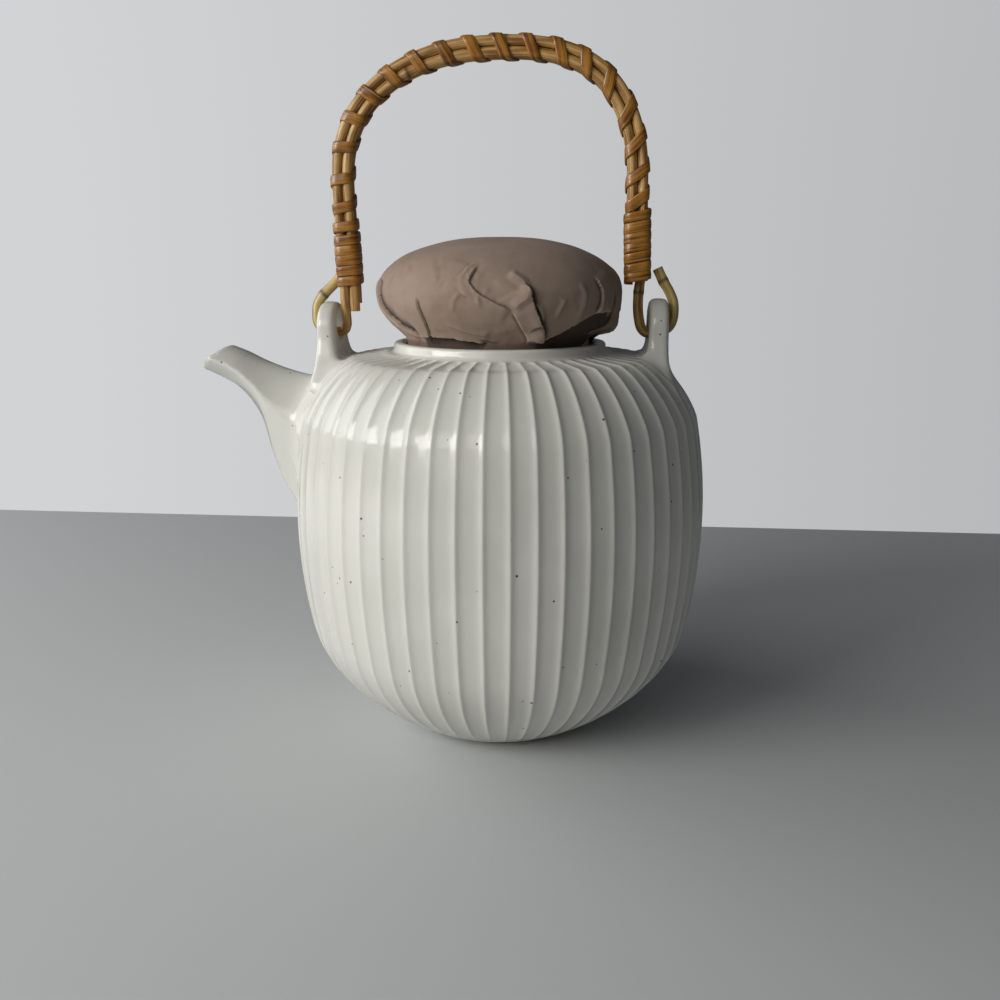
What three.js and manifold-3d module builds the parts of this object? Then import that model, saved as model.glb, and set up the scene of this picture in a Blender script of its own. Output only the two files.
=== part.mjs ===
// Stoneware teapot with a fluted body, a paper-wrapped lid and a rattan bail handle.
// Millimetres, +Z up. The origin is on the pot's axis, in the plane of its flat base.
// The spout points along -X and the handle swings about an axis along X.
import * as THREE from 'three';
import { mergeVertices } from 'three/addons/utils/BufferGeometryUtils.js';
import Module from 'manifold-3d';

const wasm = await Module();
wasm.setup();

// Body of the pot
const BELLY_R = 75;
const BASE_CUT = 5.3; // how much of the lower curve the flat base takes off
const LOW_CURVE_R = 15; // radius at which the lower curve would be level
const LOW_CURVE_H = 45.4;
const LOW_CURVE_POWER = 1.941;
const SIDE_H = 76.2; // between the lower curve and the shoulder curve
const SHOULDER_R = 59.8; // radius at which the shoulder curve is level
const SHOULDER_H = 21.05;
const SHOULDER_POWER = 1.535;
const BARREL = 0.181; // share of the radius lost at the top by the barrel bulge
const WALL = 5.2;
const FLOOR = 6;
const FLOOR_CORNER = 7.8; // width of the slope between the floor and the wall

// Flutes round the body
const FLUTES = 56;
const FLUTE_DEPTH = 1.0;
const FLUTE_FADE_LOW = 12; // height over which a flute runs out above the base
const FLUTE_FADE_TOP = 7; // radial distance over which it runs out at the collar

// Collar, mouth and the ledge that the lid sits on
const COLLAR_R = 37.9;
const COLLAR_WALL = 3.5;
const COLLAR_DRAFT = 0.5; // how much wider the collar is at its foot than at its top
const COLLAR_FOOT_RISE = 1.85; // shoulder's rise from its crown to the collar
const COLLAR_H = 2.9; // what shows of the collar above the shoulder
const COLLAR_EDGE = 0.9; // bevel of its outer edge
const COLLAR_SINK = 1; // how far the shoulder runs in under it
const LEDGE_DEPTH = 4.2;
const MOUTH_R = 29.5;

// Lid
const SEAT_GAP = 0.3;
const LID_SIDE_GAP = 1.4;
const LID_RIM_R = 42;
const LID_RIM_RISE = 17.7; // lid's widest place above the collar's top
const LID_DOME_H = 17;
const LID_DOME_POWER = 0.9; // below 1 the dome is fuller than an ellipse
const LID_WALL = 4.8;
const LID_RIM_EXTRA = 2; // extra wall at the rim
const LID_FLANGE_DROP = 7;
const LID_FLANGE_GAP = 0.5;
const LID_FLANGE_WALL = 2.8;
const LID_NECK_RISE = 1.4; // straight part of the neck above the collar's top
const LID_FLARE = [[0.45, 0.3], [0.85, 0.62]]; // shares of the way out and up, neck to rim
const LID_HOLLOW_FOOT_RISE = 3; // start of the hollow's flare above the collar's top
const LID_HOLLOW_BAND = [-2, 1]; // the hollow's widest band, down and up from the rim
const LID_HOLLOW_EAVE = [0.5, -2]; // share of the rim's radius and drop where its roof turns down

// Paper wrapped over the lid
const PAPER_GAP = 0.45;
const PAPER_THICK = 0.7;
const PAPER_EDGE_RISE = 1.5; // paper's lower edge above the collar's top
const PAPER_PLEATS = 10;
const PAPER_PLEAT_DEPTH = 0.7;

// Lugs, a pair that stands a little towards the spout
const LUG_PAIR_X = -2.8;
const LUG_REACH = 58.8; // from the pair's middle to each lug's middle
const LUG_THICK = 6.8;
const LUG_EDGE = 0.8;
const LUG_TOP_R = 9;
const LUG_FOOT_HALF = 13;
const LUG_WAIST_RISE = 2; // where the sides turn upright, above the shoulder's crown
const LUG_FOOT_SINK = 2; // how far the lug's foot is let into the shoulder
const LUG_HOLE_R = 5;
const LUG_ROUND_DROP = 0.4; // centre of the round top under the hole's centre
const LUG_HOLE_RISE = 10.65; // hole's centre above the shoulder's crown

// Rattan canes of the handle
const CANE_D = 3.3;
const CANE_GAP = 0.3;
const CANE_HOLE_GAP = 0.5; // under the cane, in the bottom of the lug's hole
const CANE_LUG_GAP = 0.5; // between the hooks and the faces of the lugs
const LEG_PLAY = 0.25; // of each leg beside its lug
const HANDLE_CREST_RISE = 94; // crest's middle line above the hinge axis
const LEG_RISE = 49.7; // where the legs turn into the arch, above the hinge axis
const ARCH_POWER = 2.4;
const CREST_LEAN = 4; // crest leans away from the spout
const LEG_LEAN = -1.2; // tops of the legs lean towards it
const INNER_FRONT_PAST = 10.7; // cut ends of the shorter canes, past the left leg's foot
const INNER_BACK_PAST = 8;
const OUTER_FRONT_PAST = -3.2;

// Peel strips that bind the canes
const STRIP_W = 2.9;
const STRIP_THICK = 0.55;
const STRIP_GAP = 0.5;
const STRIP_SPACE = 0.55; // between one turn and the next where the turns lie close
const LEFT_BINDING_LOW = 17.9; // above the hinge axis
const LEFT_BINDING_TURNS = 5;
const RIGHT_BINDING_LOW = 19.2;
const RIGHT_BINDING_TURNS = 7;
const ARCH_TURNS = 15;
const BINDING_SPACE = 0.9; // between the open turns and the close ones

// Spout, with its crown line and keel line as [outwards from the belly, upwards]
const SPOUT_CROWN = [[-12, -9.4], [-3, -8], [5, -5.8], [13, -2.8], [20, 0.5], [25.5, 2.6]];
const SPOUT_KEEL = [[-10, -8], [4.5, 4], [11, 19], [15.5, 36], [23, 46], [37, 53.3]];
const SPOUT_HALF_W = 15.5;
const SPOUT_LIP_HALF_W = 10.5;
const SPOUT_WALL = 3.2;
const SPOUT_LIP_WALL = 2; // the wall thins towards the lip
const STRAINER_HOLE_R = 2.4;
const STRAINER_PITCH = 7.6;
const STRAINER_Z = 112;
const SPOUT_MOUTH_WAY = [-0.6, 0, 0.8]; // direction in which the bore leaves the lip
const SPOUT_BORE_PAST = 6;

// Facets
const BODY_BANDS_LOW = 6;
const BODY_BANDS_SIDE = 4;
const BODY_BANDS_TOP = 6;
const ROUND_FACETS = 32;
const CANE_SIDES = 6;
const LOOP_STEPS = 16;
const HOOK_STEPS = 26;
const LID_DOME_ANGLES = [0, 0.3, 0.62, 0.93, 1.24];
const CUT_PAST = 1; // how far a cut runs past what it cuts

// Heights that follow from the sizes above
const SIDE_LOW_Z = LOW_CURVE_H - BASE_CUT;
const SIDE_TOP_Z = SIDE_LOW_Z + SIDE_H;
const CROWN_Z = SIDE_TOP_Z + SHOULDER_H;
const COLLAR_FOOT_Z = CROWN_Z + COLLAR_FOOT_RISE;
const COLLAR_TOP_Z = COLLAR_FOOT_Z + COLLAR_H;
const COLLAR_IN_R = COLLAR_R - COLLAR_WALL;
const LEDGE_Z = COLLAR_TOP_Z - LEDGE_DEPTH;
const BELLY_Z = (SIDE_LOW_Z + SIDE_TOP_Z) / 2;
const HALF_H = (CROWN_Z + BASE_CUT) / 2;
const LUG_HOLE_Z = CROWN_Z + LUG_HOLE_RISE;
const CANE_R = CANE_D / 2;
const AXIS_Z = LUG_HOLE_Z - LUG_HOLE_R + CANE_HOLE_GAP + CANE_R;
const CANE_PITCH = CANE_D + CANE_GAP;
const HALF_PITCH = CANE_PITCH / 2;
const LEFT_LUG_X = LUG_PAIR_X - LUG_REACH;
const RIGHT_LUG_X = LUG_PAIR_X + LUG_REACH;
const LUG_TO_LEG = LUG_THICK / 2 + CANE_LUG_GAP + CANE_R + LEG_PLAY + HALF_PITCH;
const HANDLE_HALF_SPAN = LUG_REACH - LUG_TO_LEG; // from the pair's middle to each leg's

const glaze = new THREE.MeshStandardMaterial({ color: 0xdcdcd2, roughness: 0.22, metalness: 0 });
const paperBrown = new THREE.MeshStandardMaterial({ color: 0x7d6a5e, roughness: 0.9, metalness: 0 });
const rattan = new THREE.MeshStandardMaterial({ color: 0xa8743a, roughness: 0.5, metalness: 0 });
const peel = new THREE.MeshStandardMaterial({ color: 0x96602a, roughness: 0.3, metalness: 0 });

// A closed body through a row of rings that all have the same number of points
function loft(rings) {
  const sides = rings[0].length;
  const positions = [];
  for (const ring of rings) {
    for (const point of ring) positions.push(point.x, point.y, point.z);
  }
  const indices = [];
  for (let i = 0; i + 1 < rings.length; i += 1) {
    for (let j = 0; j < sides; j += 1) {
      const a = i * sides + j;
      const b = i * sides + ((j + 1) % sides);
      indices.push(a, b, b + sides, a, b + sides, a + sides);
    }
  }
  const ends = [[rings[0], 0, true], [rings.at(-1), (rings.length - 1) * sides, false]];
  for (const [ring, first, start] of ends) {
    const centre = ring.reduce((sum, point) => sum.add(point), new THREE.Vector3()).divideScalar(sides);
    const hub = positions.length / 3;
    positions.push(centre.x, centre.y, centre.z);
    for (let j = 0; j < sides; j += 1) {
      const a = first + j;
      const b = first + ((j + 1) % sides);
      if (start) indices.push(hub, b, a);
      else indices.push(hub, a, b);
    }
  }
  return outward(positions, indices);
}

// A geometry whose faces point out of its volume
function outward(positions, indices) {
  let volume = 0;
  const corner = (k) => new THREE.Vector3().fromArray(positions, indices[k] * 3);
  for (let k = 0; k < indices.length; k += 3) {
    volume += corner(k).dot(corner(k + 1).cross(corner(k + 2)));
  }
  if (volume < 0) {
    for (let k = 0; k < indices.length; k += 3) {
      [indices[k], indices[k + 1]] = [indices[k + 1], indices[k]];
    }
  }
  const geometry = new THREE.BufferGeometry();
  geometry.setAttribute('position', new THREE.Float32BufferAttribute(positions, 3));
  geometry.setIndex(indices);
  return geometry;
}

// three.js geometry to a solid, and back
function solid(geometry) {
  const bare = geometry.clone();
  bare.deleteAttribute('normal');
  bare.deleteAttribute('uv');
  const merged = mergeVertices(bare, 1e-4);
  return new wasm.Manifold(new wasm.Mesh({
    numProp: 3,
    vertProperties: new Float32Array(merged.attributes.position.array),
    triVerts: new Uint32Array(merged.index.array),
  }));
}

function geometryOf(body) {
  const mesh = body.getMesh();
  const geometry = new THREE.BufferGeometry();
  geometry.setAttribute('position', new THREE.Float32BufferAttribute(mesh.vertProperties, 3));
  geometry.setIndex(Array.from(mesh.triVerts));
  return geometry;
}

// A body of revolution about Z from a closed outline of [radius, height] points
function turned(outline, facets = ROUND_FACETS) {
  const points = outline.map(([r, z]) => new THREE.Vector2(r, z));
  const geometry = new THREE.LatheGeometry([...points, points[0].clone()], facets);
  geometry.rotateX(Math.PI / 2);
  const merged = mergeVertices(dropAttributes(geometry), 1e-4);
  return outward(Array.from(merged.attributes.position.array), solidFaces(merged));
}

function dropAttributes(geometry) {
  geometry.deleteAttribute('normal');
  geometry.deleteAttribute('uv');
  return geometry;
}

// The faces of a merged geometry, without those that collapsed on the axis
function solidFaces(geometry) {
  const faces = [];
  const all = geometry.index.array;
  for (let k = 0; k < all.length; k += 3) {
    const [a, b, c] = [all[k], all[k + 1], all[k + 2]];
    if (a !== b && b !== c && c !== a) faces.push(a, b, c);
  }
  return faces;
}

// Outline of the pot's wall from the base to the collar's foot, as [radius, height]
function wallOutline() {
  const barrel = (z) => 1 - BARREL * ((z - BELLY_Z) / HALF_H) ** 2;
  const outline = [];
  const baseAngle = Math.acos((1 - BASE_CUT / LOW_CURVE_H) ** (LOW_CURVE_POWER / 2));
  for (let i = 0; i <= BODY_BANDS_LOW; i += 1) {
    const angle = baseAngle + (Math.PI / 2 - baseAngle) * (i / BODY_BANDS_LOW);
    const r = LOW_CURVE_R + (BELLY_R - LOW_CURVE_R) * Math.sin(angle) ** (2 / LOW_CURVE_POWER);
    const cosine = Math.max(0, Math.cos(angle));
    const z = Math.max(0, LOW_CURVE_H * (1 - cosine ** (2 / LOW_CURVE_POWER)) - BASE_CUT);
    outline.push([r * barrel(z), z]);
  }
  for (let i = 1; i <= BODY_BANDS_SIDE; i += 1) {
    const z = SIDE_LOW_Z + SIDE_H * (i / BODY_BANDS_SIDE);
    outline.push([BELLY_R * barrel(z), z]);
  }
  for (let i = 1; i <= BODY_BANDS_TOP; i += 1) {
    const angle = (Math.PI / 2) * (i / BODY_BANDS_TOP);
    const cosine = Math.max(0, Math.cos(angle));
    const r = SHOULDER_R + (BELLY_R - SHOULDER_R) * cosine ** (2 / SHOULDER_POWER);
    const z = SIDE_TOP_Z + SHOULDER_H * Math.sin(angle) ** (2 / SHOULDER_POWER);
    outline.push([r * barrel(z), z]);
  }
  return outline;
}

const WALL_OUTLINE = wallOutline();

// Height of the shoulder at a radius
function shoulderZ(radius) {
  const shoulder = WALL_OUTLINE.filter(([, z]) => z >= SIDE_TOP_Z);
  const above = shoulder.findIndex(([r]) => r <= radius);
  if (above < 1) return above === 0 ? SIDE_TOP_Z : CROWN_Z;
  const [r0, z0] = shoulder[above - 1];
  const [r1, z1] = shoulder[above];
  return THREE.MathUtils.mapLinear(radius, r0, r1, z0, z1);
}

// Depth of a flute's middle where the wall has this radius and height
function fluteDepth(r, z) {
  const low = THREE.MathUtils.smoothstep(z, 0, FLUTE_FADE_LOW);
  const top = THREE.MathUtils.smoothstep(r, COLLAR_R, COLLAR_R + FLUTE_FADE_TOP);
  return FLUTE_DEPTH * (r / BELLY_R) * low * top;
}

// Solid outside of the fluted body, up to the collar's foot
function flutedBody() {
  const outline = [...WALL_OUTLINE, [COLLAR_R + FLUTE_FADE_TOP, CROWN_Z + COLLAR_FOOT_RISE / 3]];
  outline.push([COLLAR_R - COLLAR_SINK, COLLAR_FOOT_Z]);
  const rings = outline.map(([r, z]) => {
    const ring = [];
    for (let k = 0; k < FLUTES * 2; k += 1) {
      const angle = (Math.PI * k) / FLUTES;
      const radius = r - (k % 2) * fluteDepth(r, z);
      ring.push(new THREE.Vector3(radius * Math.cos(angle), radius * Math.sin(angle), z));
    }
    return ring;
  });
  return solid(loft(rings));
}

// Cavity for the tea: the wall's outline moved in by the wall's thickness, then the mouth
function cavity() {
  const inner = [];
  for (let i = 1; i + 1 < WALL_OUTLINE.length; i += 1) {
    const [r0, z0] = WALL_OUTLINE[i - 1];
    const [r1, z1] = WALL_OUTLINE[i + 1];
    const length = Math.hypot(r1 - r0, z1 - z0);
    const r = WALL_OUTLINE[i][0] - (WALL * (z1 - z0)) / length;
    const z = WALL_OUTLINE[i][1] + (WALL * (r1 - r0)) / length;
    if (z > FLOOR && z < CROWN_Z - WALL) inner.push([r, z]);
  }
  inner.unshift([0, FLOOR], [inner[0][0] - FLOOR_CORNER, FLOOR]);
  inner.push([WALL_OUTLINE.at(-1)[0] - WALL, CROWN_Z - WALL]);
  inner.push([MOUTH_R, COLLAR_FOOT_Z - WALL]);
  inner.push([MOUTH_R, LEDGE_Z]);
  inner.push([COLLAR_IN_R, LEDGE_Z]);
  inner.push([COLLAR_IN_R, COLLAR_TOP_Z + CUT_PAST]);
  inner.push([0, COLLAR_TOP_Z + CUT_PAST]);
  return solid(turned(inner));
}

// Low ring round the mouth, let into the shoulder
function collar() {
  return solid(turned([
    [0, COLLAR_FOOT_Z - WALL / 2],
    [COLLAR_R + COLLAR_DRAFT, COLLAR_FOOT_Z - WALL / 2],
    [COLLAR_R, COLLAR_TOP_Z - COLLAR_EDGE],
    [COLLAR_R - COLLAR_EDGE, COLLAR_TOP_Z],
    [0, COLLAR_TOP_Z],
  ]));
}

// Tab that stands on the shoulder, with a hole along X for the handle's cane
function lug(x) {
  const footZ = shoulderZ(Math.abs(x) + LUG_THICK / 2) - LUG_FOOT_SINK;
  const topZ = LUG_HOLE_Z - LUG_ROUND_DROP;
  const waistZ = CROWN_Z + LUG_WAIST_RISE;
  const outline = new THREE.Shape();
  outline.moveTo(-LUG_FOOT_HALF, footZ);
  outline.lineTo(LUG_FOOT_HALF, footZ);
  outline.quadraticCurveTo(LUG_TOP_R, waistZ, LUG_TOP_R, topZ);
  outline.absarc(0, topZ, LUG_TOP_R, 0, Math.PI, false);
  outline.quadraticCurveTo(-LUG_TOP_R, waistZ, -LUG_FOOT_HALF, footZ);
  const tab = new THREE.ExtrudeGeometry(outline, {
    depth: LUG_THICK - 2 * LUG_EDGE,
    bevelEnabled: true,
    bevelSize: LUG_EDGE,
    bevelOffset: -LUG_EDGE,
    bevelThickness: LUG_EDGE,
    bevelSegments: 1,
    curveSegments: 7,
  });
  tab.translate(0, 0, LUG_EDGE - LUG_THICK / 2);
  tab.applyMatrix4(new THREE.Matrix4().set(0, 0, 1, x, 1, 0, 0, 0, 0, 1, 0, 0, 0, 0, 0, 1));
  const hole = new THREE.CylinderGeometry(LUG_HOLE_R, LUG_HOLE_R, LUG_THICK * 2, 16);
  hole.rotateZ(Math.PI / 2);
  hole.translate(x, 0, LUG_HOLE_Z);
  return { tab: solid(tab), hole: solid(hole) };
}

// Spout: each section hangs between a point of the crown line, whose heights count from the
// shoulder's crown, and one of the keel line, whose heights count from the belly
const spoutLine = (places, z) => new THREE.CatmullRomCurve3(
  places.map(([out, up]) => new THREE.Vector3(-BELLY_R - out, 0, z + up)),
);
const CROWN_LINE = spoutLine(SPOUT_CROWN, CROWN_Z);
const KEEL_LINE = spoutLine(SPOUT_KEEL, BELLY_Z);
const SPOUT_SECTIONS = 8;
const SECTION_POINTS = 14;
const SECTION_FULLNESS = 0.6; // how much wider the section is near its crown
const SECTION_POWER = 0.8; // below 1 the sides of the section are fuller than an ellipse
const SECTION_SPREAD = 1 + SECTION_FULLNESS / 4; // width of a full section over its half width

function spoutSection(along, rootInset, lipInset) {
  const inset = THREE.MathUtils.lerp(rootInset, lipInset, along);
  const crown = CROWN_LINE.getPoint(along);
  const keel = KEEL_LINE.getPoint(along);
  const half = crown.clone().sub(keel).multiplyScalar(0.5);
  const middle = crown.clone().add(keel).multiplyScalar(0.5);
  const shrink = 1 - inset / half.length();
  const halfWidth = THREE.MathUtils.lerp(SPOUT_HALF_W, SPOUT_LIP_HALF_W, along) - inset;
  const ring = [];
  for (let k = 0; k < SECTION_POINTS; k += 1) {
    const angle = (2 * Math.PI * k) / SECTION_POINTS;
    const height = Math.cos(angle);
    const side = Math.sign(Math.sin(angle)) * Math.abs(Math.sin(angle)) ** SECTION_POWER;
    const width = (halfWidth * side * (1 + SECTION_FULLNESS * height)) / SECTION_SPREAD;
    const point = middle.clone().addScaledVector(half, height * shrink);
    ring.push(point.setY(width));
  }
  return ring;
}

function spoutSolid(rootInset, lipInset, reach) {
  const rings = [];
  for (let i = 0; i <= SPOUT_SECTIONS; i += 1) {
    rings.push(spoutSection(i / SPOUT_SECTIONS, rootInset, lipInset));
  }
  if (reach > 0) {
    const out = new THREE.Vector3(...SPOUT_MOUTH_WAY).multiplyScalar(reach);
    rings.push(rings.at(-1).map((point) => point.clone().add(out)));
  }
  return solid(loft(rings));
}

// Round holes pierced through the wall behind the spout, as a strainer
function strainer() {
  const places = [[0, 0]];
  for (let k = 0; k < 6; k += 1) {
    const angle = (Math.PI / 3) * k;
    places.push([STRAINER_PITCH * Math.cos(angle), STRAINER_PITCH * Math.sin(angle)]);
  }
  return places.map(([y, z]) => {
    const pin = new THREE.CylinderGeometry(STRAINER_HOLE_R, STRAINER_HOLE_R, WALL * 2, 8);
    pin.rotateZ(Math.PI / 2);
    pin.translate(-BELLY_R + WALL, y, STRAINER_Z + z);
    return solid(pin);
  });
}

function potBody() {
  const outside = flutedBody();
  const left = lug(LEFT_LUG_X);
  const right = lug(RIGHT_LUG_X);
  const spoutBore = spoutSolid(SPOUT_WALL, SPOUT_LIP_WALL, SPOUT_BORE_PAST).subtract(outside);
  let body = outside.add(collar()).add(spoutSolid(0, 0, 0)).add(left.tab).add(right.tab);
  body = body.subtract(cavity()).subtract(spoutBore).subtract(left.hole).subtract(right.hole);
  for (const hole of strainer()) body = body.subtract(hole);
  return geometryOf(body);
}

const FLARE_SINK = 0.4; // how far the flare's corners sink for each millimetre moved out

// Outside of the lid from its seat to the crown of its dome, moved out by a distance
function lidOutside(out, lowZ) {
  const neckR = COLLAR_IN_R - LID_SIDE_GAP + out;
  const neckTopZ = COLLAR_TOP_Z + LID_NECK_RISE;
  const rimZ = COLLAR_TOP_Z + LID_RIM_RISE;
  const rimR = LID_RIM_R + out;
  const outline = [[neckR, lowZ], [neckR, neckTopZ]];
  for (const [across, up] of LID_FLARE) {
    outline.push([neckR + (rimR - neckR) * across, neckTopZ + (rimZ - neckTopZ) * up - out * FLARE_SINK]);
  }
  const domeH = LID_DOME_H + out;
  for (const angle of LID_DOME_ANGLES) {
    outline.push([rimR * Math.cos(angle) ** LID_DOME_POWER, rimZ + domeH * Math.sin(angle)]);
  }
  outline.push([0, rimZ + domeH]);
  return outline;
}

function lidBody() {
  const seatZ = LEDGE_Z + SEAT_GAP;
  const flangeR = MOUTH_R - LID_FLANGE_GAP;
  const flangeInR = flangeR - LID_FLANGE_WALL;
  const rimZ = COLLAR_TOP_Z + LID_RIM_RISE;
  const hollowTop = rimZ + LID_DOME_H - LID_WALL;
  const hollowR = LID_RIM_R - LID_WALL - LID_RIM_EXTRA;
  const [bandLow, bandHigh] = LID_HOLLOW_BAND;
  const [eaveShare, eaveDrop] = LID_HOLLOW_EAVE;
  return turned([
    ...lidOutside(0, seatZ),
    [0, hollowTop],
    [LID_RIM_R * eaveShare, hollowTop + eaveDrop],
    [hollowR, rimZ + bandHigh],
    [hollowR, rimZ + bandLow],
    [flangeInR, COLLAR_TOP_Z + LID_HOLLOW_FOOT_RISE],
    [flangeInR, seatZ - LID_FLANGE_DROP],
    [flangeR, seatZ - LID_FLANGE_DROP],
    [flangeR, seatZ],
  ]);
}

// Paper shell over the lid, gathered into pleats below the rim
function paperWrap() {
  const edgeZ = COLLAR_TOP_Z + PAPER_EDGE_RISE;
  const rimZ = COLLAR_TOP_Z + LID_RIM_RISE;
  const outer = lidOutside(PAPER_GAP + PAPER_THICK, edgeZ).slice(0, -1);
  const inner = lidOutside(PAPER_GAP, edgeZ).slice(0, -1);
  const topOut = lidOutside(PAPER_GAP + PAPER_THICK, edgeZ).at(-1);
  const topIn = lidOutside(PAPER_GAP, edgeZ).at(-1);
  const facets = PAPER_PLEATS * 4;
  const positions = [];
  const indices = [];
  const push = (point) => positions.push(point[0], point[1], point[2]) / 3 - 1;
  const ringOf = ([r, z], folds) => {
    const gather = folds * THREE.MathUtils.smoothstep(rimZ - z, 0, rimZ - edgeZ);
    const ring = [];
    for (let k = 0; k < facets; k += 1) {
      const angle = (2 * Math.PI * k) / facets;
      const fold = PAPER_PLEAT_DEPTH * gather * (0.5 - 0.5 * Math.cos(PAPER_PLEATS * angle));
      ring.push(push([(r + fold) * Math.cos(angle), (r + fold) * Math.sin(angle), z]));
    }
    return ring;
  };
  const rings = [...outer.map((place) => ringOf(place, 1)).reverse(), ...inner.map((place) => ringOf(place, 1))];
  const crownOut = push([0, 0, topOut[1]]);
  const crownIn = push([0, 0, topIn[1]]);
  for (let k = 0; k < facets; k += 1) {
    const next = (k + 1) % facets;
    indices.push(crownOut, rings[0][k], rings[0][next]);
    indices.push(crownIn, rings.at(-1)[next], rings.at(-1)[k]);
    for (let i = 0; i + 1 < rings.length; i += 1) {
      indices.push(rings[i][k], rings[i + 1][k], rings[i + 1][next]);
      indices.push(rings[i][k], rings[i + 1][next], rings[i][next]);
    }
  }
  return outward(positions, indices);
}

// Middle line of the handle's bundle, from the left leg's foot over the arch to the right's
const LEG_FOOT_Z = AXIS_Z + LEFT_BINDING_LOW;
function archPoint(angle) {
  const springZ = AXIS_Z + LEG_RISE;
  const rise = HANDLE_CREST_RISE - LEG_RISE;
  const side = -Math.sign(Math.cos(angle)) * Math.abs(Math.cos(angle)) ** (2 / ARCH_POWER);
  const up = Math.abs(Math.sin(angle)) ** (2 / ARCH_POWER);
  const x = LUG_PAIR_X + LEG_LEAN + HANDLE_HALF_SPAN * side + (CREST_LEAN - LEG_LEAN) * up ** 3;
  return new THREE.Vector3(x, 0, springZ + rise * up);
}

function spineCurve() {
  const points = [];
  const legSteps = 4;
  const archSteps = 36;
  const leftFoot = new THREE.Vector3(LUG_PAIR_X - HANDLE_HALF_SPAN, 0, LEG_FOOT_Z);
  const rightFoot = new THREE.Vector3(LUG_PAIR_X + HANDLE_HALF_SPAN, 0, LEG_FOOT_Z);
  const leftTop = archPoint(0);
  const rightTop = archPoint(Math.PI);
  for (let i = 0; i < legSteps; i += 1) points.push(leftFoot.clone().lerp(leftTop, i / legSteps));
  for (let i = 0; i <= archSteps; i += 1) points.push(archPoint((Math.PI * i) / archSteps));
  for (let i = 1; i <= legSteps; i += 1) points.push(rightTop.clone().lerp(rightFoot, i / legSteps));
  const curve = new THREE.CatmullRomCurve3(points, false, 'centripetal');
  curve.arcLengthDivisions = 2000;
  return curve;
}

const SPINE = spineCurve();
const SPINE_LENGTH = SPINE.getLength();

// Place on the bundle: a share of the spine, then outward and backward from it
function onBundle(share, outwards, backwards) {
  const tangent = SPINE.getTangentAt(share);
  const normal = new THREE.Vector3().crossVectors(tangent, new THREE.Vector3(0, 1, 0)).normalize();
  return SPINE.getPointAt(share).addScaledVector(normal, outwards).setY(backwards);
}

// A curve with its own stations, so that its steps can be short where it bends
class Route extends THREE.Curve {
  constructor(points) {
    super();
    this.points = points;
    this.smooth = new THREE.CatmullRomCurve3(points, false, 'centripetal');
  }

  getPointAt(share, target = new THREE.Vector3()) {
    return target.copy(this.points[Math.round(share * (this.points.length - 1))]);
  }

  getTangentAt(share, target = new THREE.Vector3()) {
    return this.smooth.getTangent(share, target);
  }
}

function caneAlong(points) {
  const section = new THREE.Shape();
  for (let k = 0; k < CANE_SIDES; k += 1) {
    const angle = (2 * Math.PI * (k + 0.5)) / CANE_SIDES;
    const corner = [CANE_R * Math.cos(angle), CANE_R * Math.sin(angle)];
    if (k === 0) section.moveTo(...corner);
    else section.lineTo(...corner);
  }
  return new THREE.ExtrudeGeometry(section, {
    steps: points.length - 1,
    extrudePath: new Route(points),
    bevelEnabled: false,
  });
}

// Stations along the arch for one cane of the bundle, few on the straight legs
const ARCH_STATIONS = 32;
function archStations(outwards, backwards) {
  const legShare = (LEG_RISE - LEFT_BINDING_LOW) / SPINE_LENGTH;
  const shares = [0];
  for (let i = 0; i <= ARCH_STATIONS; i += 1) {
    shares.push(THREE.MathUtils.lerp(legShare, 1 - legShare, i / ARCH_STATIONS));
  }
  shares.push(1);
  return shares.map((share) => onBundle(share, outwards, backwards));
}

// A shorter cane of the bundle. Its left end is cut this far past the foot of the leg.
function fillerCane(outwards, backwards, leftPast) {
  const stations = archStations(outwards, backwards);
  const way = stations[0].clone().sub(stations[1]).normalize();
  stations[0].addScaledVector(way, leftPast);
  return caneAlong(stations);
}

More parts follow.
